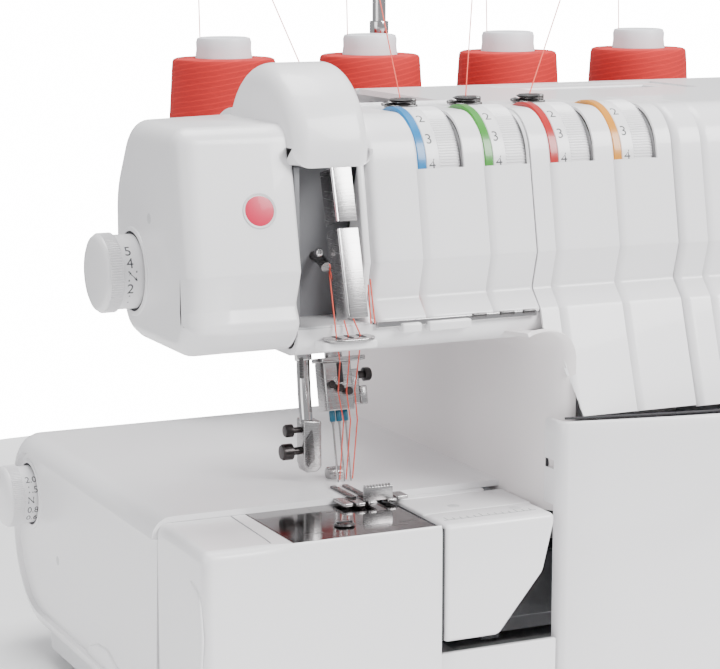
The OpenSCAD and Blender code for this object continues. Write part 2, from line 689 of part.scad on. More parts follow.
handle_x0 = 120;
handle_x1 = 204;
handle_y = 70;
handle_z = arm_top - 6.5;
handle_pivot_y = handle_y + 31;
module carry_handle() color("gainsboro") at_needle() difference() {
    box([handle_x0, handle_y, handle_z], [handle_x1, handle_y + 34, handle_z + 6]);
    box([handle_x0 + 10, handle_y + 9, handle_z - 1], [handle_x1 - 10, handle_y + 24, handle_z + 7]);
    rod_x(handle_x0 - 1, handle_x1 + 1, handle_pivot_y, handle_z + 3, 1.5 + run_gap);
}

stand_left = cone_x0 - 34;
stand_right = cone_x0 + (cone_count - 1) * cone_pitch + 34;
module spool_stand() color("whitesmoke") at_needle() {
    difference() {
        union() {
            translate([0, 0, stand_z - stand_t]) linear_extrude(stand_t)
                rounded([stand_left, body_back + 0.3], [stand_right, stand_back], 12);
            box([stand_left + 80, body_back + 0.3, stand_z - 22], [stand_right - 60, body_back + 8, stand_z - stand_t]);
        }
        rod_z(stand_z - 30, stand_z + 5, pole_x, pole_y, 4);
        box([lifter_x - 5, 100, stand_z - 40], [lifter_x + 9, body_back + 31, stand_z + 30]);
    }
    for (i = [0:cone_count - 1]) {
        rod_z(stand_z, stand_z + 70, cone_x0 + i * cone_pitch, cone_y, 3);
        rod_z(stand_z, stand_z + 3, cone_x0 + i * cone_pitch, cone_y, 27);
    }
}

// A cone with straight sides between two radii.
module cone(z0, z1, r0, r1) { translate([0, 0, z0]) cylinder(h = z1 - z0, r1 = r0, r2 = r1); }
core_z0 = stand_z + 3.3;
module cone_cores() color("whitesmoke") at_needle() for (i = [0:cone_count - 1])
    translate([cone_x0 + i * cone_pitch, cone_y, 0]) difference() {
        cone(core_z0, core_z0 + cone_h + 3, cone_r - 8, 12.5);
        cone(core_z0 - 1, core_z0 + cone_h + 4, cone_r - 10, 10);
    }
module cone_windings() color("firebrick") at_needle() for (i = [0:cone_count - 1])
    translate([cone_x0 + i * cone_pitch, cone_y, 0]) difference() {
        cone(core_z0 + 4, core_z0 + cone_h - 6, cone_r, cone_r - 6);
        cone(core_z0 - 1, core_z0 + cone_h + 4, cone_r - 7.7, 12.6);
    }

pole_top = 176;
module pole_tube() color("silver") at_needle() difference() {
    union() {
        rod_z(stand_z - stand_t, pole_top, pole_x, pole_y, 3.9);
        rod_z(stand_z, stand_z + 8, pole_x, pole_y, 7);
    }
    rod_z(stand_z + 2, pole_top + 1, pole_x, pole_y, 3.3 + run_gap);
}
module guide_pole() color("silver") at_needle() {
    rod_z(stand_z + 92, guide_bar_z, pole_x, pole_y, 3.3);
    rod_x(cone_x0 - 20, cone_x0 + (cone_count - 1) * cone_pitch + 8, pole_y, guide_bar_z + 1.5, 1.8);
    for (i = [0:cone_count - 1]) translate([eye(i)[0], 0, 0]) {
        rod_y(pole_y - 26, pole_y, 0, guide_bar_z + 1.5, 1.2);
        translate([0, pole_y - 29, guide_bar_z + 1.5]) rotate_extrude() translate([3.4, 0]) circle(r = 1.1);
    }
    rod_z(guide_bar_z - 5, guide_bar_z + 6, pole_x, pole_y, 7);
}

thread_r = 0.25;
// A taut thread over its guides: straight runs with a ball at each bend.
module thread(points) {
    for (i = [1:len(points) - 1]) bar(points[i - 1], points[i], thread_r);
    for (i = [1:1:len(points) - 2]) translate(points[i]) sphere(r = thread_r + 0.05, $fn = 16);
}

module needle_threads() color("crimson") at_needle() for (i = [-1:1])
    thread([[-26, -42.8, 96 + 1.4 * i], [-24 + 5 * i, -56, 71.5], [-1 + 5 * i, -6, 47], [0.8 + 3 * i, -4.5, 28],
            [needle_pitch * i, -1.3, 3.6]]);

eye_x = -12;             // each guide eye, left of its cone
pretension_y = -5.5;
function guide_x(i) = first_dial + i * dial_pitch + 11.5;
function eye(i) = [cone_x0 + eye_x + i * cone_pitch, pole_y - 29, guide_bar_z + 1.5];
thread_ends = concat([[-4, 16.5, arm_top + 0.8]],
    [for (i = [0:dial_count - 2]) [guide_x(i), pretension_y, arm_top + 5.4]]);
module cone_threads() color("crimson") at_needle() for (i = [0:cone_count - 1])
    thread([[cone_x0 + i * cone_pitch - 11.5, cone_y, core_z0 + cone_h + 3.4], eye(i), thread_ends[i]]);

base_pan();
rubber_feet();
frame_casting();
bed_shell();
throat_liner();
rear_cover();
head_shell();
arm_shell();
tension_panel();
right_panel();
take_up_dome();
side_cover();
hinge_pins();
front_cover();
cover_rod();
chain_table();
needle_plate();
plate_screws();
take_up_guard();
take_up_lever();
thread_guide_plate();
arm_rail();
badge();
stitch_length_dial();
feed_dial();
tension_dial_1();
tension_dial_2();
tension_dial_3();
tension_dial_4();
tension_shaft();
pretension_guides();
presser_bar();
presser_foot();
foot_screws();
needle_bar();
needle_clamp();
needles();
needle_screws();
presser_lifter();
handwheel();
main_shaft();
drive_belt();
motor();
motor_pulley();
arm_shaft();
lower_looper();
upper_looper();
feed_dogs();
upper_knife();
lamp();
power_switch();
inlet_socket();
carry_handle();
spool_stand();
cone_cores();
cone_windings();
pole_tube();
guide_pole();
needle_threads();
cone_threads();
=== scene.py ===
"""Looks of the serger overlock machine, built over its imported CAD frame."""
import bmesh
import bpy
from math import acos, atan2, cos, pi, radians, sin, sqrt
from mathutils import Matrix, Vector


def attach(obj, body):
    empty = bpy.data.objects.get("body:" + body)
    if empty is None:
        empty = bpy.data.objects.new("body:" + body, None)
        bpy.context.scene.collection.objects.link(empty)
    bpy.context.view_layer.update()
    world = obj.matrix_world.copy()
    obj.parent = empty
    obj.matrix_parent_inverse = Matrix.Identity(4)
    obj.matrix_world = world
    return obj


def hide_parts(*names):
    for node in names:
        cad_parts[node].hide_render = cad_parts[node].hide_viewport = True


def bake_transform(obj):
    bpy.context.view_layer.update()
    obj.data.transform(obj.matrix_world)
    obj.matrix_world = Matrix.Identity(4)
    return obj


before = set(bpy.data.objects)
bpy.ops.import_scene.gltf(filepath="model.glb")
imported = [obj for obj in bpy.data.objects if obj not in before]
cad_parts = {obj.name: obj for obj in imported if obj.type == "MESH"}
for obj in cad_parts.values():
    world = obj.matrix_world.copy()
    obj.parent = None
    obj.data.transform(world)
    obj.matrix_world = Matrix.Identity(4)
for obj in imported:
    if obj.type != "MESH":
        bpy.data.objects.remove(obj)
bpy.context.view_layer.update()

# Drawings are in millimetres from the point where the needles meet the plate.
NEEDLE = Vector((-89.5, -65.0, 95.0))


def P(x, y, z):
    return (Vector((x, y, z)) + NEEDLE) / 1000


# ---------------------------------------------------------------- materials
class V:
    """A socket of a node tree, with arithmetic."""

    def __init__(self, g, socket):
        self.g, self.socket = g, socket

    def _m(self, op, a, b=0.0):
        return self.g.node("ShaderNodeMath", {"operation": op}, {0: a, 1: b})

    def __add__(self, o): return self._m("ADD", self, o)
    def __sub__(self, o): return self._m("SUBTRACT", self, o)
    def __mul__(self, o): return self._m("MULTIPLY", self, o)
    def __truediv__(self, o): return self._m("DIVIDE", self, o)
    def sine(self): return self._m("SINE", self)
    def power(self, o): return self._m("POWER", self, o)
    def over(self, o): return self._m("GREATER_THAN", self, o)


class Shade:
    """A material whose nodes are added one call at a time."""

    def __init__(self, name):
        self.mat = bpy.data.materials.new(name)
        self.mat.use_nodes = True
        self.tree = self.mat.node_tree
        self.bsdf = next(n for n in self.tree.nodes if n.type == "BSDF_PRINCIPLED")

    def node(self, kind, settings=None, inputs=None, out=0):
        n = self.tree.nodes.new(kind)
        for k, v in (settings or {}).items():
            setattr(n, k, v)
        for k, v in (inputs or {}).items():
            self.link(v, n.inputs[k])
        return V(self, n.outputs[out])

    def link(self, v, socket):
        if isinstance(v, V):
            self.tree.links.new(v.socket, socket)
        else:
            socket.default_value = v

    def set(self, **values):
        for k, v in values.items():
            self.link(v, self.bsdf.inputs[k.replace("_", " ")])
        return self

    def coords(self):
        return self.node("ShaderNodeTexCoord", out=3)

    def split(self, v, axis):
        return self.node("ShaderNodeSeparateXYZ", inputs={0: v}, out=axis)

    def noise(self, scale, detail=3.0, where=None):
        return self.node("ShaderNodeTexNoise", inputs={"Vector": where or self.coords(),
                         "Scale": scale, "Detail": detail}, out=0)

    def mix(self, fac, a, b):
        n = self.tree.nodes.new("ShaderNodeMix")
        n.data_type = "RGBA"
        for i, v in ((0, fac), (6, a), (7, b)):
            self.link(v, n.inputs[i])
        return V(self, n.outputs[2])

    def bump(self, height, strength, distance):
        return self.node("ShaderNodeBump", inputs={"Height": height, "Strength": strength,
                                                   "Distance": distance})


def rgb(r, g, b):
    return (r, g, b, 1.0)


def plastic(name, color, rough, grain=0.02, coat=0.0):
    s = Shade(name)
    n = s.noise(900.0, 2.0)
    cloud = s.noise(22.0, 3.0)
    s.set(Base_Color=s.mix(cloud, color, [c * 0.985 for c in color[:3]] + [1]),
          Roughness=n * 0.05 + (rough - 0.025), Normal=s.bump(n, grain, 0.0002))
    s.set(Coat_Weight=coat)
    return s.mat


def metal(name, color, rough, brush=0.0, streak=(60.0, 60.0, 2500.0)):
    s = Shade(name)
    where = s.node("ShaderNodeMapping", inputs={0: s.coords(), 3: streak})
    n = s.noise(1.0, 3.0, where)
    s.set(Base_Color=color, Metallic=1.0, Roughness=n * 0.12 + (rough - 0.06))
    if brush:
        s.set(Normal=s.bump(n, brush, 0.0002))
    return s.mat


WHITE = rgb(0.84, 0.83, 0.84)
M = {
    "white": plastic("case white", WHITE, 0.3, 0.02, 0.25),
    # throat: case white made darker and warmer, painted shade inside the throat
    "throat": plastic("throat white painted shade", rgb(0.8, 0.76, 0.76), 0.36, 0.02, 0.1),
    "grey": plastic("case grey", rgb(0.62, 0.62, 0.63), 0.42, 0.03),
    # recess: grey walls darkened further with painted shade
    "recess": plastic("recess grey painted shade", rgb(0.2, 0.2, 0.21), 0.45, 0.03),
    "seam": plastic("seam shadow and ruler print", rgb(0.33, 0.33, 0.34), 0.6, 0.0),
    "dark": plastic("gap shadow", rgb(0.025, 0.025, 0.028), 0.7, 0.0),
    "rubber": plastic("rubber", rgb(0.03, 0.03, 0.03), 0.75, 0.1),
    "black": plastic("black plastic", rgb(0.02, 0.02, 0.022), 0.38, 0.05),
    "ink": plastic("ink", rgb(0.06, 0.06, 0.065), 0.5, 0.0),
    "blue": plastic("ring blue", rgb(0.0, 0.17, 0.42), 0.3, 0.0, 0.2),
    "green": plastic("ring green", rgb(0.04, 0.25, 0.025), 0.3, 0.0, 0.2),
    "red": plastic("ring red", rgb(0.42, 0.006, 0.008), 0.3, 0.0, 0.2),
    "yellow": plastic("ring yellow", rgb(0.62, 0.24, 0.01), 0.3, 0.0, 0.2),
    "badge": plastic("badge red", rgb(0.6, 0.0, 0.05), 0.35, 0.0, 0.1),
    "core": plastic("cone core", rgb(0.76, 0.77, 0.8), 0.45, 0.02),
    "paint": plastic("motor paint", rgb(0.05, 0.055, 0.06), 0.4, 0.1),
    "teal": plastic("needle colour", rgb(0.01, 0.12, 0.2), 0.3, 0.0),
    "chrome": metal("chrome", rgb(0.55, 0.54, 0.54), 0.12),
    "satin": metal("satin chrome", rgb(0.43, 0.42, 0.42), 0.26, 0.12),
    "mirror": metal("mirror plate", rgb(0.17, 0.16, 0.16), 0.1),
    "steel": metal("steel", rgb(0.45, 0.45, 0.46), 0.33, 0.15),
    "darksteel": metal("dark steel", rgb(0.16, 0.155, 0.155), 0.28, 0.1),
    "blacksteel": metal("black screws", rgb(0.05, 0.045, 0.045), 0.3),
    "casting": metal("casting", rgb(0.5, 0.51, 0.53), 0.55, 0.4, (700.0, 700.0, 700.0)),
}


def wound_thread():
    """Yarn wound on a cone: crossing diagonal strands, painted lighter on the strands and a little darker
    between them as painted light and shade.
    """
    s = Shade("wound thread")
    uv = s.node("ShaderNodeUVMap")
    u, v = s.split(uv, 0), s.split(uv, 1)
    drift = s.noise(60.0, 4.0)
    fine = ((v * 1500.0 + u * 40.0 + drift * 5.0).sine() * 0.5 + 0.5).power(0.7)
    cross = ((v * 260.0 - u * 62.0 + drift * 3.0).sine() * 0.5 + 0.5).power(6.0)
    cloud = s.noise(26.0, 4.0)
    # shade: painted highlight on the strands and painted shade between them (fine, cross), plus random tone
    # (cloud)
    shade = fine * 0.35 + cross * 0.35 + cloud * 0.5
    s.set(Base_Color=s.mix(shade, rgb(0.3, 0.005, 0.005), rgb(0.66, 0.014, 0.012)),
          Roughness=0.8, Normal=s.bump(fine + cross, 0.35, 0.0004))
    return s.mat


def single_thread():
    s = Shade("single thread")
    twist = s.noise(3000.0, 1.0)
    s.set(Base_Color=s.mix(twist, rgb(0.6, 0.05, 0.03), rgb(0.85, 0.12, 0.07)), Roughness=0.6)
    return s.mat


def lamp_glow():
    s = Shade("lamp diffuser")
    s.set(Base_Color=s.mix(s.noise(300.0), rgb(0.9, 0.9, 0.86), rgb(0.98, 0.97, 0.94)), Roughness=0.5)
    s.bsdf.inputs["Emission Strength"].default_value = 0.6
    s.set(Emission_Color=rgb(1.0, 0.96, 0.88))
    return s.mat


M["yarn"] = wound_thread()
M["thread"] = single_thread()
M["lamp"] = lamp_glow()


# ---------------------------------------------------------------- geometry
def put(name, me, mat, body="root", nodes=(), smooth=35):
    """Link a mesh in the row frame, shade it, and let it ride on a body."""
    me.materials.clear()
    me.materials.append(M[mat])
    me.shade_smooth()
    me.set_sharp_from_angle(angle=radians(smooth))
    ob = bpy.data.objects.new(name.replace(" ", "_"), me)
    bpy.context.scene.collection.objects.link(ob)
    if body:
        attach(ob, body)
    if nodes:
        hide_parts(*nodes)
    return ob


def to_mesh(name, verts, faces):
    me = bpy.data.meshes.new(name)
    me.from_pydata([P(*v) for v in verts], [], faces)
    me.update()
    return me


def with_modifiers(me, *mods):
    """The mesh after the listed modifiers: (kind, settings)."""
    ob = bpy.data.objects.new("work", me)
    bpy.context.scene.collection.objects.link(ob)
    for kind, settings in mods:
        m = ob.modifiers.new(kind, kind)
        for k, v in settings.items():
            setattr(m, k, v)
    out = bpy.data.meshes.new_from_object(ob.evaluated_get(bpy.context.evaluated_depsgraph_get()))
    bpy.data.objects.remove(ob)
    return out


def solid(t=2.5):
    return ("SOLIDIFY", {"thickness": t / 1000, "offset": -1.0})


def sheet_of(name, rows, close_v=False, keep=None, thickness=0.0, flip=False):
    """A surface through rows of points; keep(i, j) says which of its faces stay."""
    n = len(rows[0])
    faces = []
    for i in range(len(rows) - 1):
        for j in range(n if close_v else n - 1):
            if keep and not keep(i, j):
                continue
            k = (j + 1) % n
            f = [i * n + j, i * n + k, (i + 1) * n + k, (i + 1) * n + j]
            faces.append(f[::-1] if flip else f)
    me = to_mesh(name, [p for r in rows for p in r], faces)
    bm = bmesh.new()
    bm.from_mesh(me)
    bmesh.ops.remove_doubles(bm, verts=bm.verts, dist=2e-6)
    bmesh.ops.dissolve_degenerate(bm, dist=1e-6, edges=bm.edges)
    bmesh.ops.delete(bm, geom=[v for v in bm.verts if not v.link_faces], context="VERTS")
    bm.to_mesh(me)
    bm.free()
    return with_modifiers(me, solid(thickness)) if thickness else me


def fillet(corners, n=8):
    """A path with each corner (a, b, radius) rounded; open at both ends."""
    out = []
    for i, (a, b, r) in enumerate(corners):
        p = Vector((a, b))
        if r <= 0 or i in (0, len(corners) - 1):
            out.append(p)
            continue
        u = (Vector(corners[i - 1][:2]) - p).normalized()
        w = (Vector(corners[i + 1][:2]) - p).normalized()
        half = acos(max(-1, min(1, u.dot(w)))) / 2
        d = r / max(0.05, sin(half) / cos(half))
        c = p + (u + w).normalized() * (r / sin(half))
        s, e = p + u * d - c, p + w * d - c
        a0, sweep = atan2(s.y, s.x), s.angle_signed(e)
        for k in range(n + 1):
            t = a0 - sweep * k / n
            out.append(c + Vector((cos(t), sin(t))) * r)
    return out


def inset(path, d, closed=False):
    """Move a path sideways by d, to the right of its direction when d > 0."""
    out = []
    m = len(path)
    for i in range(m):
        a = path[(i - 1) % m] if closed or i else path[i]
        b = path[(i + 1) % m] if closed or i < m - 1 else path[i]
        t = (b - a).normalized()
        out.append(path[i] + Vector((t.y, -t.x)) * d)
    return out


def subdivide(path, step, closed=False):
    out = []
    m = len(path)
    for i in range(m if closed else m - 1):
        a, b = path[i], path[(i + 1) % m]
        k = max(1, int((b - a).length / step))
        out += [a.lerp(b, j / k) for j in range(k)]
    return out if closed else out + [path[-1]]


def rounding(x, r, side, n=6):
    """Stations (x, inset) for a rounded end at x; side -1 is the left end, +1 the right end."""
    pts = [(x - side * r * (1 - sin(pi / 2 * k / n)), r * (1 - cos(pi / 2 * k / n))) for k in range(n + 1)]
    return pts[::-1] if side < 0 else pts


def lathe(name, profile, at, axis="x", n=64, uv=False, direction=None):
    """A turned piece: profile of (radius, along) about an axis through at."""
    d = Vector(direction) if direction else {"x": Vector((1, 0, 0)), "y": Vector((0, 1, 0)),
                                             "z": Vector((0, 0, 1))}[axis]
    d = d.normalized()
    side = d.orthogonal().normalized()
    up = d.cross(side)
    at = Vector(at)
    verts, faces = [], []
    m = len(profile)
    for i in range(n):
        a = 2 * pi * i / n
        for r, h in profile:
            verts.append(at + d * h + (side * cos(a) + up * sin(a)) * r)
    for i in range(n):
        for j in range(m - 1):
            a, b = i * m + j, ((i + 1) % n) * m + j
            faces.append([a, b, b + 1, a + 1])
    me = to_mesh(name, verts, faces)
    if uv:
        layer = me.uv_layers.new(name="UVMap")
        for poly in me.polygons:
            i = poly.index // (m - 1)
            j = poly.index % (m - 1)
            for li, (du, dv) in zip(poly.loop_indices, ((0, 0), (1, 0), (1, 1), (0, 1))):
                layer.data[li].uv = ((i + du) / n, profile[j + dv][1] / 100)
    bm = bmesh.new()
    bm.from_mesh(me)
    bmesh.ops.remove_doubles(bm, verts=bm.verts, dist=1e-6)
    bmesh.ops.recalc_face_normals(bm, faces=bm.faces)
    bm.to_mesh(me)
    bm.free()
    return me


def turned(r, h0, h1, e=0.5):
    """Lathe profile of a disc with softened edges."""
    return [(0, h0), (r - e, h0), (r - e * 0.3, h0 + e * 0.3), (r, h0 + e),
            (r, h1 - e), (r - e * 0.3, h1 - e * 0.3), (r - e, h1), (0, h1)]


def tube(name, pts, r, n=12, closed=False, flat=1.0):
    """A round bar along a path."""
    pts = [Vector(p) for p in pts]
    m = len(pts)
    side = None
    verts, faces = [], []
    for i, p in enumerate(pts):
        a = pts[(i - 1) % m] if closed or i else p
        b = pts[(i + 1) % m] if closed or i < m - 1 else p
        t = (b - a).normalized()
        side = t.orthogonal().normalized() if side is None else (side - t * side.dot(t)).normalized()
        up = t.cross(side)
        for k in range(n):
            w = 2 * pi * k / n
            verts.append(p + side * (r * cos(w)) + up * (r * flat * sin(w)))
    for i in range(m if closed else m - 1):
        for k in range(n):
            j = (i + 1) % m
            faces.append([i * n + k, i * n + (k + 1) % n, j * n + (k + 1) % n, j * n + k])
    if not closed:
        faces += [list(range(n))[::-1], [(m - 1) * n + k for k in range(n)]]
    me = to_mesh(name, verts, faces)
    bm = bmesh.new()
    bm.from_mesh(me)
    bmesh.ops.recalc_face_normals(bm, faces=bm.faces)
    bm.to_mesh(me)
    bm.free()
    return me


def block(name, outline, h0, h1, bevel=0.5, plane="xy", segs=3):
    """A drawing extruded square to its plane, with softened edges."""
    def at(a, b, h):
        return {"xy": (a, b, h), "xz": (a, h, b), "yz": (h, a, b)}[plane]
    n = len(outline)
    verts = [at(a, b, h0) for a, b in outline] + [at(a, b, h1) for a, b in outline]
    faces = [list(range(n)), list(range(n, 2 * n))] + [[i, (i + 1) % n, n + (i + 1) % n, n + i]
                                                       for i in range(n)]
    me = to_mesh(name, verts, faces)
    bm = bmesh.new()
    bm.from_mesh(me)
    bmesh.ops.recalc_face_normals(bm, faces=bm.faces)
    if bevel:
        sharp = [e for e in bm.edges if len(e.link_faces) == 2 and e.calc_face_angle() > radians(25)]
        bmesh.ops.bevel(bm, geom=sharp, offset=bevel / 1000, segments=segs, affect="EDGES", profile=0.5)
    bm.to_mesh(me)
    bm.free()
    return me


def rect(a0, b0, a1, b1, r=0.0, n=5):
    if r <= 0:
        return [(a0, b0), (a1, b0), (a1, b1), (a0, b1)]
    out = []
    for (ca, cb, s) in ((a1 - r, b0 + r, 270), (a1 - r, b1 - r, 0), (a0 + r, b1 - r, 90),
                        (a0 + r, b0 + r, 180)):
        out += [(ca + r * cos(radians(s + 90 * k / n)), cb + r * sin(radians(s + 90 * k / n)))
                for k in range(n + 1)]
    return out


def leaning(me, at=(0, 0, 0), angle=12.3):
    """Tip a piece back with the needle bar, about a point."""
    c = P(*at)
    me.transform(Matrix.Translation(c) @ Matrix.Rotation(-radians(angle), 4, "X") @ Matrix.Translation(-c))
    return me


def joined(name, *meshes):
    bm = bmesh.new()
    for me in meshes:
        bm.from_mesh(me)
    out = bpy.data.meshes.new(name)
    bm.to_mesh(out)
    bm.free()
    return out


def numerals(name, items, x, yc, zc, r, size, spread):
    """Dial figures bent round a drum on an X axis; items are (text, degrees above the front)."""
    parts = []
    for text, angle in items:
        curve = bpy.data.curves.new(name, "FONT")
        curve.body, curve.size, curve.align_x, curve.align_y = text, size, "LEFT", "CENTER"
        curve.extrude = 0.03
        curve.resolution_u = 4
        ob = bpy.data.objects.new(name, curve)
        bpy.context.scene.collection.objects.link(ob)
        me = bpy.data.meshes.new_from_object(ob.evaluated_get(bpy.context.evaluated_depsgraph_get()))
        bpy.data.objects.remove(ob)
        for v in me.vertices:
            a = radians(angle * spread) + v.co.y / r
            q = r + v.co.z
            v.co = P(x + v.co.x, yc - q * cos(a), zc + q * sin(a))
        parts.append(me)
    return joined(name, *parts)


def repeat(name, seed_mesh, count, radius, at, axis="x", start=0.0, sweep=360.0):
    """Copies of a small mesh spaced round an axis by a node tree, as one plain mesh."""
    seed = bpy.data.objects.new(name + " seed", seed_mesh)
    tree = bpy.data.node_groups.new(name, "GeometryNodeTree")
    tree.interface.new_socket("Geometry", in_out="OUTPUT", socket_type="NodeSocketGeometry")
    for label, kind, value in (("Count", "NodeSocketInt", count),
                               ("Radius", "NodeSocketFloat", radius / 1000),
                               ("Start", "NodeSocketFloat", radians(start)),
                               ("Step", "NodeSocketFloat", radians(sweep) / count)):
        tree.interface.new_socket(label, in_out="INPUT", socket_type=kind).default_value = value
    new, link = tree.nodes.new, tree.links.new
    given, line = new("NodeGroupInput"), new("GeometryNodeMeshLine")
    inst, info = new("GeometryNodeInstanceOnPoints"), new("GeometryNodeObjectInfo")
    index, angle = new("GeometryNodeInputIndex"), new("ShaderNodeMath")
    spin, place = new("ShaderNodeCombineXYZ"), new("GeometryNodeSetPosition")
    polar, real = new("ShaderNodeVectorRotate"), new("GeometryNodeRealizeInstances")
    paint, out = new("GeometryNodeSetMaterial"), new("NodeGroupOutput")
    start_at, arm = new("ShaderNodeMath"), new("ShaderNodeCombineXYZ")
    angle.operation, start_at.operation = "MULTIPLY", "ADD"
    polar.rotation_type = "X_AXIS"
    info.inputs["Object"].default_value = seed
    line.inputs["Offset"].default_value = (0, 0, 0)
    link(given.outputs["Count"], line.inputs["Count"])
    link(index.outputs[0], angle.inputs[0])
    link(given.outputs["Step"], angle.inputs[1])
    link(angle.outputs[0], start_at.inputs[0])
    link(given.outputs["Start"], start_at.inputs[1])
    link(given.outputs["Radius"], arm.inputs[2])
    link(arm.outputs[0], polar.inputs["Vector"])
    link(start_at.outputs[0], polar.inputs["Angle"])
    link(line.outputs[0], place.inputs["Geometry"])
    link(polar.outputs[0], place.inputs["Position"])
    link(place.outputs[0], inst.inputs["Points"])
    link(info.outputs["Geometry"], inst.inputs["Instance"])
    link(start_at.outputs[0], spin.inputs[0])
    link(spin.outputs[0], inst.inputs["Rotation"])
    link(inst.outputs[0], real.inputs[0])
    link(real.outputs[0], paint.inputs[0])
    link(paint.outputs[0], out.inputs[0])
    host = bpy.data.objects.new(name, bpy.data.meshes.new(name))
    bpy.context.scene.collection.objects.link(host)
    host.modifiers.new("repeat", "NODES").node_group = tree
    me = bpy.data.meshes.new_from_object(host.evaluated_get(bpy.context.evaluated_depsgraph_get()))
    bpy.data.objects.remove(host)
    bpy.data.objects.remove(seed)
    if axis == "z":
        me.transform(Matrix.Rotation(-pi / 2, 4, "Y"))
    me.transform(Matrix.Translation(P(*at)))
    return me


def rib(length, width, height):
    """A small raised rib along X, for knurls."""
    l, w, h = length / 2000, width / 2000, height / 1000
    me = bpy.data.meshes.new("rib")
    me.from_pydata([(-l, -w, 0), (l, -w, 0), (l, w, 0), (-l, w, 0), (-l, 0, h), (l, 0, h)], [],
                   [(0, 1, 5, 4), (1, 2, 5), (2, 3, 4, 5), (3, 0, 4)])
    return me


def smoothstep(t):
    t = max(0.0, min(1.0, t))
    return t * t * (3 - 2 * t)


# ---------------------------------------------------------------- head and arm
LEFT = -88.0  # left face of the head and the bed
LEDGE = 131.5
DIAL0, PITCH, DRUM_R, DIAL_Y, DIAL_Z = 10.0, 28.5, 23.5, -20.0, 129.5


def head_section(k):
    """The head's outline; k fades in the creased band low on its front."""
    return subdivide(fillet([(-20, 150, 0), (-46.5, 150, 8), (-57.6, 97.5, 2.5), (-57.2 + 4.2 * k, 85, 2.5),
                             (-58.0 + 1.2 * k, 78, 5), (-48, 67, 12), (10, 67, 0.0), (30, 69, 22),
                             (47, 96, 24),
                             (47, 124, 24), (20, 150, 30), (-20, 150, 0)], 8)[:-1], 400.0, True)


stations = rounding(LEFT, 7.0, -1, 7) + [(x, 0.0)
                                         for x in (-79, -77, -75, -73, -71, -69, -66, -60,
                                                   -52)] + rounding(-43.3, 1.5, 1, 3)


def head_depth(x, y):
    """The head is shallower at its left end, where its rear face slants in."""
    back = 20 + 27 * (x - LEFT) / (-43.0 - LEFT)
    return y if y < -20 else -20 + (y + 20) * (back + 20) / 67


rows = [[(x, head_depth(x, q.x), q.y) for q in inset(head_section(smoothstep((x + 80) / 12)), -d, True)]
        for x, d in stations]
me = sheet_of("head", rows, True)
bm = bmesh.new()
bm.from_mesh(me)
bmesh.ops.holes_fill(bm, edges=[e for e in bm.edges if e.is_boundary], sides=0)
bmesh.ops.recalc_face_normals(bm, faces=bm.faces)
bm.to_mesh(me)
bm.free()
put("head", me, "white", nodes=["head_shell"])

# Back and underside of the arm, from the recess to the body.
arm = subdivide(fillet([(-50, 75, 0), (-50.5, 67, 6), (10, 67, 20), (30, 69, 22), (47, 96, 24),
                        (47, 124, 24), (20, 150, 30), (10.3, 150, 0)], 8), 4.0)
rows = [[(x, q.x, q.y) for q in arm] for x in (-43.0, -30, -11.8, 10, 30, 60.0)]
put("arm back", sheet_of("arm back", rows, thickness=2.5, flip=True), "white", nodes=["arm_shell"])

# Recess of the take-up: grey walls darkened with painted shade, a back and its seam.
recess = [block("recess back", rect(-42.7, 70, -12.2, 134.8), -29, -27, 0.3, "xz"),
          block("recess left", rect(-50.5, 76, -27, 134.8), -43.2, -41.2, 0.3, "yz")]
put("recess", joined("recess", *recess), "recess")
wall = subdivide(fillet([(-43.5, 134.8, 0), (-50.0, 98, 1.5), (-46.5, 84, 1.5), (-52, 75.5, 0),
                         (-27, 75.5, 0), (-27, 134.8, 0)], 4)[:-1], 300.0, True)
put("recess side", block("recess side", [tuple(q) for q in wall], -15.2, -12.0, 0.8, "yz"), "white")
put("recess floor", block("recess floor", rect(-42.8, -52, -12.3, -27), 74.6, 76.0, 0.4), "grey")
put("recess seam", tube("recess seam", [(-36.5, -29.4, 78), (-36.5, -29.4, 132)], 0.35, 8), "dark")

# Dome over the take-up lever.
dome = [Vector((DIAL_Y + 34 * cos(radians(a)), 137 + 34 * sin(radians(a))))
        for a in range(-2, 183, 4)] + [Vector((-54, 134.6)), Vector((13.8, 134.6))]
dome = [q if q.y > 134.7 else q for q in dome]
top = sheet_of("dome", [[(x, q.x, q.y) for q in inset(dome, -d, True)] for x, d in
                        rounding(-45.5, 7.5, -1, 8) + [(-27, 0)] + rounding(-13.2, 6, 1, 8)], True)
bm = bmesh.new()
bm.from_mesh(top)
bmesh.ops.holes_fill(bm, edges=[e for e in bm.edges if e.is_boundary], sides=0)
bmesh.ops.recalc_face_normals(bm, faces=bm.faces)
bm.to_mesh(top)
bm.free()
put("take-up dome", top, "white", nodes=["take_up_dome"])


# ---------------------------------------------------------------- front skins
def skin(low, shift):
    """Front profile of the panel from its lower edge over the top, as y,z."""
    base = [(-67 + shift, 35.7, 0), (-54 + shift, 76.5, 4)] if low < 70 else [(-54 + shift
            + (76.5 - low) * 0.3, low, 0), (-54.2 + shift, 76.8, 1.5)]
    path = fillet(base + [(-47.5 + shift, 84, 2.5), (-51.5 + shift, 98, 2.5), (-45.2 + shift, LEDGE, 0),
                          (-41.2 + shift, 151.5, 18.5), (10, 151.5, 0)], 10)
    return subdivide(path, 3.0)


def columns(x0, x1, edges):
    xs = {round(x0, 3), round(x1, 3)}
    x = x0
    while x < x1:
        xs.add(round(x, 3))
        x += 4.0
    for e in edges:
        for d in (-0.5, -0.25, 0, 0.15, 0.4, 0.8, 1.3, 2.0, 3.0, 4.2):
            if x0 <= e + d <= x1:
                xs.add(round(e + d, 3))
    return sorted(xs)


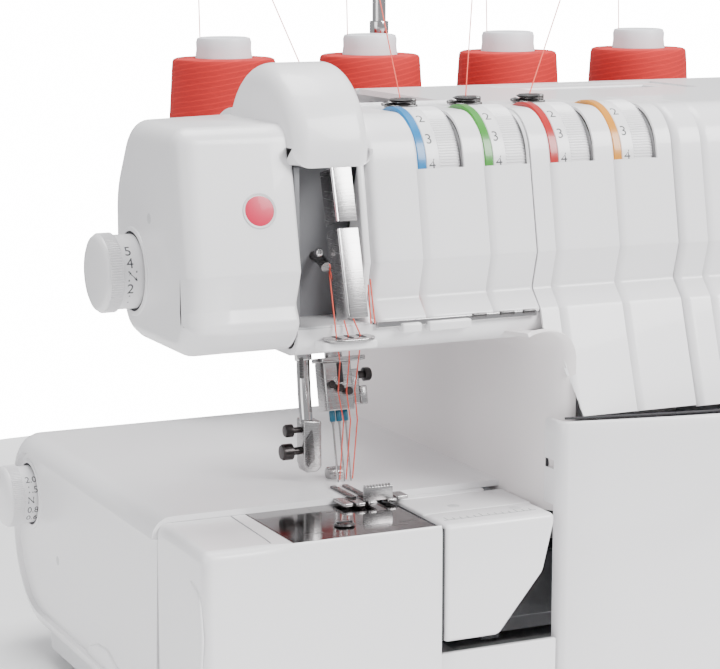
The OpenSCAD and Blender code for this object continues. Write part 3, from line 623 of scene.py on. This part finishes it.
def groove(x, edges, depth=2.6, width=4.0):
    """Depth of the skin at x: sharp on the left of each edge, rounded on its right."""
    d = 0.0
    for e in edges:
        if e - 0.25 <= x <= e:
            d = max(d, depth * (x - e + 0.25) / 0.25)
        elif e < x < e + width:
            t = (x - e) / width
            d = max(d, depth * (1 - sqrt(1 - (1 - t) ** 2)) ** 1.0)
    return d


def panel(name, x0, x1, low, shift, edges, windows, left_limit=None, end_round=True):
    path = skin(low, shift)
    normals = inset(path, 1.0)
    xs = columns(x0, x1, edges)
    for a, b in windows:
        xs = sorted(set(xs) | {a, b})
    if end_round:
        xs = sorted(set(xs) | {x0 + d for d in (0.2, 0.6, 1.2, 2, 3)} | {x1 - d
                for d in (0.2, 0.5, 1.0, 1.6)})
    rows = []
    for x in xs:
        d = groove(x, edges)
        if end_round and x < x0 + 3:
            d = max(d, 3 * (1 - sqrt(max(0, 1 - (1 - (x - x0) / 3) ** 2))))
        if end_round and x > x1 - 1.6:
            d = max(d, 1.6 * (1 - sqrt(max(0, 1 - (1 - (x1 - x) / 1.6) ** 2))))
        row = []
        for q, nq in zip(path, normals):
            n = (nq - q).normalized()
            w = q + n * d
            edge = left_limit(q.y) if left_limit else -1e9
            row.append((max(x, edge + (x - x0) * 0.001), w.x, w.y))
        rows.append(row)

    def keep(i, j):
        xm, (ym, zm) = (xs[i] + xs[i + 1]) / 2, (path[j] + path[j + 1]) / 2
        if left_limit and xs[i + 1] < left_limit(zm):
            return False
        return not any(a < xm < b and zm > LEDGE and ym < -7.5 for a, b in windows)

    return sheet_of(name, rows, keep=keep, thickness=1.1, flip=True)


def throat_edge(z):
    """Right boundary of the throat at the front, which the panel's lower part follows."""
    if z > 76:
        return -1e9
    if z > 67:
        return 58.5 - (z - 67) * 0.2
    if z > 61:
        return 58.5 + (67 - z) * 0.9
    return 63.9 + (61 - z) * 0.25


EDGES = [DIAL0 + i * PITCH - 1.0 for i in range(4)]
WINDOWS = [(DIAL0 + i * PITCH - 0.5, DIAL0 + i * PITCH + 19.1) for i in range(4)]
put("tension panel left", panel("tension panel left", -11.8, 58.0, 75.5, 0.0, EDGES[:2], WINDOWS[:2]),
    "white", nodes=["tension_panel"])
put("tension panel right", panel("tension panel right", 58.05, 121.3, 36.0, 0.0, EDGES[2:], WINDOWS[2:],
                                 throat_edge, False), "white")
put("right panel", panel("right panel", 121.7, 262.0, 36.0, -2.0, [134.0], []), "white",
    nodes=["right_panel"])

# ---------------------------------------------------------------- dials
RING = ("blue", "green", "red", "yellow")
for i, colour in enumerate(RING):
    x0 = DIAL0 + i * PITCH
    body = f"tension_{i + 1}"
    ring = [(8, 0.2), (DRUM_R - 0.6, 0.2), (DRUM_R, 0.8), (DRUM_R, 3.7), (DRUM_R - 0.4, 4.1), (8, 4.1)]
    put(f"dial {i + 1} ring", lathe("ring", ring, (x0, DIAL_Y, DIAL_Z), n=128), colour, body,
        [f"tension_dial_{i + 1}"])
    drum = [(4.1, 4.2), (DRUM_R - 0.7, 4.2), (DRUM_R - 0.4, 4.5), (DRUM_R - 0.4, 9.6),
            (DRUM_R - 0.75, 10.0), (DRUM_R - 0.75, 17.9),
            (DRUM_R - 1.5, 18.7), (4.1, 18.7)]
    put(f"dial {i + 1} drum", lathe("drum", drum, (x0, DIAL_Y, DIAL_Z), n=128), "white", body)
    put(f"dial {i + 1} ribs", repeat("ribs", rib(8.2, 0.75, 0.4), 130, DRUM_R - 0.8,
                                     (x0 + 14.2, DIAL_Y, DIAL_Z)), "white", body)
    figures = [(str(9 - k) if k < 9 else "0", 32.5 + (k - 6) * 25) for k in range(10)]
    put(f"dial {i + 1} figures", numerals("figures", figures, x0 + 5.2, DIAL_Y, DIAL_Z, DRUM_R - 0.42, 6.0,
                                          1.0), "ink", body)
    side = [(0, 19.4), (21.6, 19.4), (21.6, 20.2), (0, 20.2)]
    put(f"dial {i + 1} wall", lathe("wall", side, (x0, DIAL_Y - 0.5, DIAL_Z), n=64), "white")
    put(f"dial {i + 1} slot", lathe("slot", [(0, -0.9), (DRUM_R - 2.6, -0.9), (DRUM_R - 2.6, -0.3),
                                             (0, -0.3)], (x0, DIAL_Y, DIAL_Z), n=64), "dark")
put("dial bay", block("dial bay", rect(-38, 104, 4, 107), 6, 120, 0.3, "yz"), "grey")


def knob(name, yc, zc, r, depth, figures, size, body, node):
    """A dial on the left face: domed cap, knurl, and a band of figures."""
    x = LEFT
    cap = [(0, -depth - 0.6), (r * 0.6, -depth - 0.5), (r - 2.2, -depth - 0.1), (r - 0.9, -depth + 0.5),
           (r - 0.3, -depth + 1.4),
           (r - 0.3, -depth + 6.6), (r - 0.8, -depth + 7.0), (r - 0.9, -depth + 7.4), (r - 0.9, 1.2),
           (0, 1.2)]
    at = (x, yc, zc)
    put(name, lathe(name, cap, at, n=96), "white", body, [node])
    put(name + " knurl", repeat("knurl", rib(4.8, 0.62, 0.42), 96, r - 0.35, (x - depth + 4.1, yc, zc)),
        "white", body)
    put(name + " figures", numerals("figures", figures, x - depth + 8.0, yc, zc, r - 0.88, size, 1.0),
        "ink", body)
    put(name + " collar", lathe("collar", [(r + 0.2, 0.4), (r + 0.2, -0.5), (r + 1.1, -0.7),
                                           (r + 1.9, -0.4), (r + 2.2, 0.4)], at, n=96), "white")
    put(name + " gap", lathe("gap", [(0, -0.15), (r + 0.25, -0.15), (r + 0.25, 0.3), (0, 0.3)], at, n=64),
        "dark")


knob("stitch length dial", 0, 93, 15.0, 15.0, [("5", 40), ("4", 20), ("N", 0), ("2", -20), ("1", -40)],
     5.6, "length_knob", "stitch_length_dial")
knob("feed dial", 141, -25, 13.5, 13.0, [("2.0", 42), ("1.5", 21), ("N", 0), ("0.8", -21), ("0.6", -42)],
     4.2, "feed_knob", "feed_dial")

# Round badge without a letter.
tilt = radians(90 - 13)
out = Vector((0, -sin(tilt), cos(tilt)))
at = Vector((-58, -52.4, 120))
put("badge rim", lathe("rim", [(5.6, -0.6), (5.6, 0.6), (6.3, 0.75), (6.8, 0.3), (6.8, -0.6)], at,
                       direction=out), "grey", nodes=["badge"])
put("badge disc", lathe("disc", [(0, 0.75), (4, 0.7), (5.6, 0.5), (5.6, -0.6)], at, direction=out), "badge")
for name, y, z, x in (("cap screw upper", -19, 115, LEFT), ("cap screw lower", 103, -46, LEFT)):
    put(name, lathe(name, [(0, -0.05), (1.9, -0.05), (2.3, 0.15), (0, 0.15)], (x, y, z)), "grey")

# ---------------------------------------------------------------- bed
bed = [q for q in fillet([(-22.6, 0, 0), (164, 0, 27), (164, -81, 38), (-18.3, -81, 0)], 12)]
bed = subdivide(bed, 5.0)
rows = [[(x, q.x, q.y) for q in inset(bed, d)] for x, d in rounding(LEFT, 6.0, -1, 7)
        + [(-40, 0), (0, 0), (59.4, 0)]]
put("bed", sheet_of("bed", rows, thickness=2.4), "white", nodes=["bed_shell"])
face = [(q.x, q.y) for q in inset(bed, 5.9)]
put("bed end", block("bed end", face, LEFT, LEFT + 2.4, 0, "yz"), "white")

# Side cover: left wall, rounded corner and front wall of the free arm, and the deck left of the plate.
plan = subdivide(fillet([(-88, -22.9, 0), (-88, -70, 4.5), (8, -70, 0)], 8), 5.0)
straight = [(-80.5, 0), (-60, 0), (-30, 0), (-8, 0)]
turn_in = [(-4 + 4 * sin(pi / 2 * t / 6), 4 * (1 - cos(pi / 2 * t / 6))) for t in range(7)]
rows = []
for z, k in straight + turn_in:
    inner = inset(plan, -k)
    slim = inset(plan, -k * 0.2)
    mixed = [a.lerp(b, smoothstep((p.x + 62) / 9)) for p, a, b in zip(plan, inner, slim)]
    rows.append([(q.x, q.y, z) for q in mixed])
wall = sheet_of("side cover", rows, thickness=2.4)
rim = [q for q in inset(plan, -4) if q.x < -66]
deck = [(q.x, q.y) for q in rim] + [(-62, -66.5), (-57, -68), (-52.6, -69.0), (-52.6, -22.9), (-84, -22.9)]
put("side cover", joined("side cover", wall, block("deck", deck, -2.4, 0, 0)), "white", "side_door",
    ["side_cover"])
put("side cover seam", tube("seam", [(-60, -66, 0), (-59.5, -60, 0), (-58.5, -23.5, 0)], 0.25, 8), "seam",
    "side_door")
grip = subdivide(fillet([(-58, -13, 0), (-66.5, -16, 6), (-69, -32, 14), (-66, -52, 2), (-64, -53, 0)], 6),
                 3.0)
put("side cover grip", tube("grip", [(LEFT - 0.05, q.x, q.y) for q in grip], 0.55, 8), "white", "side_door")
skirt = block("skirt", [(64, -80.6), (64, -76), (60, -71), (50, -67.5), (38, -66.5), (20, -73),
                        (4, -80.6)], LEFT - 0.9, LEFT + 1, 0.8, "yz")
put("bed skirt", skirt, "white")

# Front cover: swept forward to the right, wrapped into the throat at its left.
COVER_LEFT = 58.5


def cover_y(x):
    return -66 - 16 * sin(pi / 2 * min(1, max(0, (x - COVER_LEFT) / 110)))


wrap = fillet([(60.5, -50.2, 0), (60.5, -66.1, 6.5), (75, -70.5, 0)], 8)[:-2]
path = wrap + [Vector((x, cover_y(x))) for x in range(78, 249, 5)] + [
    Vector((248 + 14 * sin(radians(a)), cover_y(248) + 14 * (1 - cos(radians(a)))))
    for a in range(10, 91, 10)]
rows = []
straight = [(-80.5, 0), (-60, 0), (-40, 0)] + [(-38 + 3.5 * i, 0) for i in range(1, 20)]
turn_in = [(34 - 1.5 * (1 - sin(pi / 2 * t / 4)), 1.5 * (1 - cos(pi / 2 * t / 4))) for t in range(1, 5)]
for z, k in straight + turn_in:
    row = []
    for q in inset(path, -k):
        sweep = -14 + 44 * smoothstep((q.x - 60) / 130) - 12 * sin(pi * smoothstep((q.x - 60) / 90))
        swell = 1.6 * smoothstep((sweep - z) / 14 + 0.5) * smoothstep((q.x - 62) / 20)
        row.append((q.x, q.y - swell, z))
    rows.append(row)


def cover_keep(i, j):
    x, y = (rows[i][j][0] + rows[i][j + 1][0]) / 2, (rows[i][j][1] + rows[i][j + 1][1]) / 2
    z = (rows[i][j][2] + rows[i + 1][j][2]) / 2
    return not (x < 61.0 and y > -60 and (z < 2 or (y + 50.2) ** 2 + (z - 16) ** 2 < 36))


door = sheet_of("front cover", rows, keep=cover_keep, thickness=2.4)
apron = block("apron", rect(9, -66, 60, -63.6), -80.5, -51.6, 0.5)
lugs = [block("lug", rect(-76.5, -82.6, -66, -77.4, 0), x, x + 8, 0.5, "yz") for x in (114, 214)]
put("front cover", joined("front cover", door, apron, *lugs), "white", "front_door", ["front_cover"])
put("cover notch", lathe("notch", [(0, 0), (5.6, 0), (5.6, 0.4), (0, 0.4)], (60.7, -50.5, 16), n=32),
    "dark")
put("cover gap", tube("gap", [(x, cover_y(x) + 2.0, 35.1) for x in range(63, 249, 6)], 0.5, 8), "dark")

# Throat: ceiling, rounded corner and side wall, flared towards the user.
outline = subdivide(fillet([(20, 66.9, 0), (57.4, 66.9, 9), (57.4, 0, 0), (57.4, -3, 0)], 9), 5.0)
rows = []
for y, f in [(129, 0), (60, 0), (0, 0), (-30, 0),
             (-38, 0)] + [(-38 - 24 * sin(pi / 2 * t / 10), 12 * (1 - cos(pi / 2 * t / 10)))
                          for t in range(1, 11)]:
    row = []
    for q, n in zip(outline, inset(outline, -1.0)):
        d = (n - q).normalized()
        rise = 0.0 if q.x < 47 else smoothstep((q.x - 47) / 9)
        g = f * rise
        yy = max(y, -48.5) if rise < 0.05 else y
        row.append((q.x + max(0, d.x) * g, yy, q.y + max(0, d.y) * g * 0.45))
    rows.append(row)
liner = sheet_of("throat", rows, thickness=1.6)
# the throat material is white plastic darkened with painted shade
put("throat", liner, "throat", nodes=["throat_liner"])

# Stitch table right of the plate, with its ruler.
table = block("table", [(9.3, -0.2), (9.3, -46), (33, -46), (52, -23), (56.6, -4), (56.6, -0.2)], -70,
              -50.2, 2.2, "xz", 5)
leaf = block("leaf", rect(9.3, -51.5, 56.6, -26.8, 1.5), -3, -0.2, 0.8)
put("stitch table", joined("stitch table", table, leaf), "white", "stitch_table", ["chain_table"])
ticks = [block("tick", rect(14 + 3 * k, -62.5, 14.35 + 3 * k, -60.2 + (1.4 if k % 5 == 0 else 0)), -0.25,
               -0.12, 0) for k in range(13)]
line = block("line", rect(12.5, -62.9, 52, -62.5), -0.25, -0.12, 0)
# the ruler is print, in the same colour as the painted seam shadow
put("table ruler", joined("ruler", line, *ticks), "seam", "stitch_table")
ovals = [lathe("oval", [(0, -0.14), (2.3, -0.14), (2.5, -0.24)], (x, y, 0), "z", 32) for x,
         y in ((26, -44), (46, -57))]
put("table marks", joined("marks", *ovals), "grey", "stitch_table")
put("bed deck edge", block("deck edge", rect(6.2, -26.4, 50, -19, 3), -4.5, -0.05, 0.8), "white")
put("table seam", block("gap", rect(8.2, -69.4, 9.2, -30), -45, -1.5, 0), "dark")

# Needle plate marks, screw slots.
marks = [block("mark", rect(a, b, c, d), 0.0, 0.06, 0) for a, b, c, d in (
    (-20, -58, -8, -57.6), (-4, -58, 4, -57.6), (-19, -55, -18.6, -52), (-16, -55, -15.6, -52),
    (-13, -55, -12.6, -52),
    (-10, -62, -2, -61.6), (-44, -60, -36, -59.7), (-40, 2, -34, 2.4), (-14, 6, -6, 6.4),
    (-24, -34, -14, -33.8))]
put("plate marks", joined("marks", *marks), "darksteel")
for k, (x, y) in enumerate(((-27, 6), (-25, -54))):
    head = lathe("screw", [(0, 0.1), (3.6, 0.1), (4, 0.5), (3.6, 1.0), (2, 1.35), (0, 1.45)], (x, y, 0),
                 "z", 40)
    slot = block("slot", rect(x - 3.2, y - 0.45, x + 3.2, y + 0.45), 1.2, 1.5, 0)
    put(f"plate screw {k + 1}", head, "darksteel", nodes=["plate_screws"] if k == 0 else [])
    put(f"plate screw {k + 1} slot", slot, "dark")

# Take-up guard, lever and pearl pin, oval guide plate and rail.
GUARD = (-30.5, -53.5, 134.5)


def guard(name, z0, z1):
    front = block(name, rect(-30.5, -54.7, -22.5, -53.5), GUARD[2] + z0, GUARD[2] + z1, 0.25)
    flange = block(name, rect(-30.5, -54.7, -29.3, -44.0), GUARD[2] + z0, GUARD[2] + z1, 0.25)
    return leaning(joined(name, front, flange), GUARD, 15.9)


put("guard upper", guard("guard upper", -20, 0), "satin", nodes=["take_up_guard"])
put("guard lower", guard("guard lower", -55.5, -22.5), "satin")
edge = leaning(tube("edge", [(-30.3, -54.5, GUARD[2] - 55.3), (-30.3, -54.5, GUARD[2] - 22.7)], 0.55, 10),
               GUARD, 15.9)
edge2 = leaning(tube("edge", [(-30.3, -54.5, GUARD[2] - 19.8), (-30.3, -54.5, GUARD[2] - 0.2)], 0.55, 10),
                GUARD, 15.9)
put("guard edge", joined("edge", edge, edge2), "chrome")
lever = tube("lever", [(-26, -12, 96), (-26, -24, 99), (-26, -34, 98.5), (-26, -40, 96)], 2.0, 12)
put("take-up lever", joined("lever", lever, lathe("hub", turned(6, -2, 2), (-26, -12, 96))), "darksteel",
    "take_up", ["take_up_lever"])
pin = lathe("pin", [(0, -1.7)] + [(1.7 * sin(radians(a)), -1.7 * cos(radians(a)))
                                  for a in range(20, 180, 20)] + [(0, 1.7)], (-33, -49, 103), "z", 24)
put("pearl pin", pin, "chrome")
slots = [block("slot", rect(x - 0.9, -59.5, x + 0.9, -52.5, 0.8), 71.9, 72.1, 0) for x in (-29, -24, -19)]
oval = block("oval", rect(-34, -62, -14, -50, 5.9, 8), 71, 72, 0.3)
put("thread guide plate", oval, "satin", nodes=["thread_guide_plate"])
put("thread guide slots", joined("slots", *slots), "dark")
put("guide ledge", block("ledge", rect(-36, -59, -13, -45, 2), 67.5, 70.8, 0.8), "white")
rail = joined("rail", block("rail", rect(-11.5, -54, 56, -47), 74.0, 75.0, 0.3),
              block("lip", rect(-11.5, -54.6, 56, -53.8), 74.0, 76.4, 0.2))
put("arm rail", rail, "chrome", nodes=["arm_rail"])
tabs = [block("tab", rect(a, -56.4, b, -52), 71.6, 75.2, 0.7) for a, b in ((-2, 6), (9, 27))]
put("rail tabs", joined("tabs", *tabs), "white")
put("rail clips", joined("clips", *[block("clip", rect(a, -55.4, b, -53), 75.2, 76.8, 0.4) for a,
                                    b in ((28, 34), (40, 46), (50, 55))]), "darksteel")

# Three pretension guides on top of the arm, between the dials.
GUIDES = [DIAL0 + i * PITCH + 11.5 for i in range(3)]
for i, x in enumerate(GUIDES):
    foot = block("foot", rect(x - 6, -9.5, x + 6, -1.5, 1.5), 151.6, 152.6, 0.3)
    cage = block("cage", rect(x - 3, -8.6, x + 5.6, -2.4, 1), 152.5, 155.0, 0.5)
    discs = lathe("discs", [(0, 152.6), (5.2, 152.7), (4.4, 153.2), (2.6, 153.5), (4.4, 153.8),
                            (5.2, 154.4), (3.8, 155.0), (0, 155.3)], (x, -5.5, 0), "z", 36)
    hook = tube("hook", [(x - 4, -6, 152.4), (x - 7, -7, 153.3), (x - 9, -7.5, 153.0)], 0.7, 8)
    put(f"pretension {i + 1}", joined("pretension", foot, cage, discs, hook), "darksteel",
        nodes=["pretension_guides"] if i == 0 else [])

# Needle bar, clamp and needles, drawn upright at the needle and then tipped back.
put("needle bar", leaning(lathe("bar", turned(3.6, 38, 121.8), (0, 0, 0), "z", 40)), "chrome",
    "needle_carrier", ["needle_bar"])
clamp = joined("clamp", block("body", rect(-6.8, -5, 5.4, 4.6, 1.0), 31, 50.5, 0.6),
               block("wing", rect(5.2, -3.4, 9.0, 3.2, 0.6), 33, 47, 0.5),
               block("ear", rect(8.6, -4.2, 11.8, 2.6, 0.8), 32.5, 40, 0.6),
               block("cap", rect(-7.6, -6, 11.6, 5.6, 1.2), 50.4, 52.3, 0.4))
put("needle clamp", leaning(clamp), "satin", "needle_carrier", ["needle_clamp"])
put("clamp shade", leaning(block("groove", rect(-1.2, -5.15, 1.2, -4.95), 42, 50, 0)), "dark",
    "needle_carrier")
screws = [lathe("set screw", [(0, -7.3), (1.3, -7.3), (1.6, -7.0), (1.6, -5.0), (0, -5.0)], (x, 0, z), "y",
                24) for x, z in ((-4.6, 41.5), (-1, 39.9), (2.6, 38.4))]
side = lathe("side screw", [(0, 15.2), (2.4, 15.0), (2.8, 14.4), (2.8, 12.2), (1.6, 12.0), (1.6, 8),
                            (0, 8)], (0, -0.5, 44.5), "x", 30)
put("clamp screws", leaning(joined("screws", *screws, side)), "blacksteel", "needle_carrier",
    ["needle_screws"])
needles = [lathe("needle", [(0, 0), (0.25, 1.5), (0.42, 4), (0.45, 25), (0.95, 27), (1.0, 37.5),
                            (0, 37.5)], (x, 0, 0), "z", 20) for x in (-2.8, 0, 2.8)]
put("needles", leaning(joined("needles", *needles)), "chrome", "needle_carrier", ["needles"])
shanks = [lathe("shank", [(1.02, 26.6), (1.22, 27.0), (1.22, 30.6), (1.02, 31)], (x, 0, 0), "z", 20)
          for x in (-2.8, 0, 2.8)]
put("needle shanks", leaning(joined("shanks", *shanks)), "teal", "needle_carrier")

# Presser bar, its flat lower part, holder and screws.
bar = leaning(lathe("bar", turned(3.5, 52, 125), (-12, 2.6, 0), "z", 40))
flat = tube("flat", [(-12, 14.3, 54), (-12.2, 13.2, 44), (-13.4, 9.5, 36), (-13.2, 8.2, 26)], 3.1, 16,
            flat=0.85)
put("presser bar", joined("bar", bar, flat), "chrome", "presser", ["presser_bar"])
put("presser bar slot", tube("slot", [(-14.2, 10.8, 52), (-14.4, 9.8, 44)], 0.9, 8), "darksteel", "presser")
holder = block("holder", [(-16, 28), (-8.2, 27), (-8.2, 8.5), (-10, 6.5), (-15, 6.5), (-16, 10)], 4.2,
               11.8, 0.7, "xz")
put("foot holder", holder, "satin", "presser")
thumb = [lathe("thumb", [(0, -7.5), (2.8, -7.3), (3.3, -6.6), (3.3, -2.8), (2.4, -2.4), (1.6, -2),
                         (1.6, 1), (0, 1)], (-17, 8, 15), "x", 32),
         lathe("thumb", [(0, -6), (2.2, -5.8), (2.6, -5.2), (2.6, -2.6), (1.2, -2.2), (1.2, 1), (0, 1)],
               (-17, 8, 23.5), "x", 32)]
put("holder screws", joined("thumb", *thumb), "blacksteel", "presser", ["foot_screws"])
clip = block("clip", [(-15.5, 20), (-12.5, 24), (-11.6, 12), (-14.6, 9)], 3.2, 4.3, 0.3, "xz")
put("holder clip", clip, "darksteel", "presser")

# Presser foot: a toed sole, an upright blade and its pivot.
toes = [block("toe", rect(a, -34 + c, b, -6, 0.8), 0.9, 2.3, 0.35) for a, b,
        c in ((-15.6, -11.4, 1), (-10.6, -6.6, 0), (-5.4, -1.6, 0), (3.2, 7.2, 1), (8.2, 13.6, 4))]
sole = [block("sole", rect(-15.8, -12, -5.6, 11.6, 1.5), 0.9, 2.3, 0.35),
        block("bridge", rect(-5.7, -8.5, 13.6, -5.2, 0.8), 0.9, 2.3, 0.35),
        block("heel", rect(-5.7, 6.2, 9.6, 11.6, 1), 0.9, 2.3, 0.35)]
pivot = [lathe("pivot", turned(2.6, -4.4, 2.2), (0, 8, 4.5), "x", 24),
         block("hinge", rect(-3.6, 5.4, 1.8, 10.6, 0.5), 2.1, 4.4, 0.3)]
put("presser foot", joined("foot", *toes, *sole, *pivot), "satin", "foot", ["presser_foot"])
comb = [block("blade", rect(-7, -32.6, 5.5, -31.5), 2.2, 7.8, 0.25)] + [block("tooth",
        rect(-6.6 + 1.3 * k, -32.8, -6.0 + 1.3 * k, -31.3), 7.7, 8.5, 0.1) for k in range(9)]
put("foot comb", joined("comb", *comb), "satin", "foot")
put("foot springs", joined("springs", *[block("spring", rect(x, -27, x + 2.6, -7, 0.6), 2.3, 3.3, 0.25)
                                        for x in (-10, -4.8)]), "darksteel", "foot")

# Cones on the rear stand.
CONE_Y = 167.0
CONE = [16 + 73.5 * i for i in range(4)]
for i, x in enumerate(CONE):
    core = [(11, 56.3), (21.5, 56.3), (21.6, 60), (12.9, 163), (12.5, 166), (12.6, 169.5), (12.0, 171.2),
            (10.6, 171.6), (0, 171.2)]
    put(f"cone core {i + 1}", lathe("core", core, (x, CONE_Y, 0), "z", 64), "core", nodes=["cone_cores"]
        if i == 0 else [])
    wound = [(21.8, 60.2), (28.6, 60.3), (29.5, 61.5)] + [(29.5 - 5.9 * k / 30, 62 + 98 * k / 30)
            for k in range(1, 30)] + [(23.5, 160.5), (23.0, 161.7), (21.8, 162.2), (13.4, 162.3)]
    put(f"cone winding {i + 1}", lathe("winding", wound, (x, CONE_Y, 0), "z", 96, uv=True), "yarn",
        nodes=["cone_windings"] if i == 0 else [])

# Threads: through the guides to the needles, and from the cones over the tree.
for k in (-1, 0, 1):
    route = [(-26, -42.8, 96 + 1.4 * k), (-24 + 5 * k, -56, 71.5), (-1 + 4 * k, -6.2, 52.6),
             (-1 + 3.6 * k, -3.6, 40), (0.6 + 3 * k, -3.9, 28), (2.8 * k, -1.0, 3.6)]
    pts = []
    for a, b in zip(route, route[1:]):
        pts += [Vector(a).lerp(Vector(b), t / 6) for t in range(6)]
    t = put(f"needle thread {k + 2}", tube("thread", pts + [Vector(route[-1])], 0.26, 6), "thread",
            body=None, nodes=["needle_threads"] if k == -1 else [])
    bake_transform(t)
EYE = [(x - 12, 171, 269.5) for x in CONE]
ENDS = [(-13.6, -6, 152.4)] + [(x, -5.5, 154.0) for x in GUIDES]
for i, x in enumerate(CONE):
    down = [Vector((x - 11.5, CONE_Y, 171.7)).lerp(Vector(EYE[i]), t / 8) for t in range(8)]
    over = [Vector(EYE[i]).lerp(Vector(ENDS[i]), t / 16) for t in range(17)]
    for label, pts, a, b in (("rising", down, P(x, CONE_Y, 171.7), P(*EYE[i])),
                             ("crossing", over, P(*ENDS[i]), P(*EYE[i]))):
        if label == "rising":
            pts = pts + [Vector(EYE[i])]
        t = put(f"cone thread {i + 1} {label}", tube("thread", pts, 0.26, 6), "thread", body=None,
                nodes=["cone_threads"] if (i, label) == (0, "rising") else [])
        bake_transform(t)
for k, ends in enumerate((((-13.6, -50.5, 90), (-14.5, -54.8, 76)),
                          ((-12.6, -50.0, 92), (-12.9, -54.9, 76)), ((8.9, -46.8, 84), (9.3, -52.4, 76)))):
    put(f"guide thread {k + 1}", tube("thread", ends, 0.28, 6), "thread")

# Telescopic pole: chrome tube, collar and foot.
put("pole tube", joined("tube", lathe("tube", turned(3.9, 47, 174), (110, 200, 0), "z", 40),
                        lathe("collar", turned(4.6, 170, 176.2, 0.4), (110, 200, 0), "z", 40),
                        lathe("foot", turned(7, 53, 61, 1), (110, 200, 0), "z", 40)), "chrome",
                        nodes=["pole_tube"])

# ---------------------------------------------------------------- pieces shown as designed
SHOWN = {"base_pan": "grey", "rubber_feet": "rubber", "frame_casting": "casting", "rear_cover": "white",
         "hinge_pins": "steel",
         "cover_rod": "steel", "needle_plate": "mirror", "tension_shaft": "steel",
         "presser_lifter": "white", "handwheel": "white",
         "main_shaft": "steel", "drive_belt": "rubber", "motor": "paint", "motor_pulley": "steel",
         "arm_shaft": "steel",
         "lower_looper": "chrome", "upper_looper": "chrome", "feed_dogs": "darksteel",
         "upper_knife": "steel", "lamp": "lamp",
         "power_switch": "black", "inlet_socket": "black", "carry_handle": "white", "spool_stand": "white",
         "guide_pole": "chrome"}
ROUNDED = {"base_pan": 1.0, "rear_cover": 0.8, "presser_lifter": 1.0, "handwheel": 1.2,
           "carry_handle": 1.0, "spool_stand": 0.8,
           "needle_plate": 0.2, "frame_casting": 0.6, "power_switch": 0.4, "inlet_socket": 0.4}
for node, mat in SHOWN.items():
    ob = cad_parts[node]
    ob.data.materials.clear()
    ob.data.materials.append(M[mat])
    if node in ROUNDED:
        weld = ob.modifiers.new("weld", "WELD")
        weld.merge_threshold = 1e-5
        b = ob.modifiers.new("edges", "BEVEL")
        b.width, b.segments, b.limit_method, b.angle_limit = ROUNDED[node] / 1000, 3, "ANGLE", radians(35)
        b.use_clamp_overlap = True

# ---------------------------------------------------------------- camera, floor and light
world = bpy.data.worlds.new("studio")
bpy.context.scene.world = world
world.use_nodes = True
tree = world.node_tree
soft = next(n for n in tree.nodes if n.type == "BACKGROUND")
out_node = next(n for n in tree.nodes if n.type == "OUTPUT_WORLD")
soft.inputs["Color"].default_value = rgb(0.96, 0.97, 1.0)
soft.inputs["Strength"].default_value = 0.62
page = tree.nodes.new("ShaderNodeBackground")
page.inputs["Color"].default_value = rgb(1.0, 1.0, 1.0)
page.inputs["Strength"].default_value = 16.0
seen, pick = tree.nodes.new("ShaderNodeLightPath"), tree.nodes.new("ShaderNodeMixShader")
tree.links.new(seen.outputs["Is Camera Ray"], pick.inputs[0])
tree.links.new(soft.outputs[0], pick.inputs[1])
tree.links.new(page.outputs[0], pick.inputs[2])
tree.links.new(pick.outputs[0], out_node.inputs["Surface"])
FLOOR_R, FLOOR_SIDES, FLOOR_DROP = 0.5, 96, -0.0005
me = bpy.data.meshes.new("floor")
ring = [(FLOOR_R * cos(2 * pi * k / FLOOR_SIDES), FLOOR_R * sin(2 * pi * k / FLOOR_SIDES), FLOOR_DROP)
        for k in range(FLOOR_SIDES)]
me.from_pydata(ring, [], [list(range(FLOOR_SIDES))])
floor_shade = Shade("floor")
floor_shade.set(Base_Color=floor_shade.mix(floor_shade.noise(2.0), rgb(0.9, 0.9, 0.9),
                                           rgb(0.94, 0.94, 0.94)), Roughness=0.8)
me.materials.append(floor_shade.mat)
floor = bpy.data.objects.new("floor", me)
bpy.context.scene.collection.objects.link(floor)


def softbox(name, at, aim, size, power):
    data = bpy.data.lights.new(name, "AREA")
    data.shape, data.size, data.energy = "SQUARE", size, power
    ob = bpy.data.objects.new(name, data)
    ob.location = at
    ob.rotation_euler = (Vector(aim) - Vector(at)).to_track_quat("-Z", "Y").to_euler()
    bpy.context.scene.collection.objects.link(ob)


softbox("key", (1.0, -1.5, 1.3), (0, 0, 0.15), 1.0, 70)
softbox("fill", (-1.7, -0.7, 0.6), (0, 0, 0.15), 1.2, 13)
softbox("top", (0.0, 0.2, 1.9), (0, 0, 0.2), 1.2, 50)
camera = bpy.data.objects.new("camera", bpy.data.cameras.new("camera"))
camera.data.lens, camera.data.sensor_width = 115, 36
camera.location = P(-373, -814, 220)
camera.rotation_euler = (radians(80), 0, radians(-25))
bpy.context.scene.collection.objects.link(camera)
bpy.context.scene.camera = camera
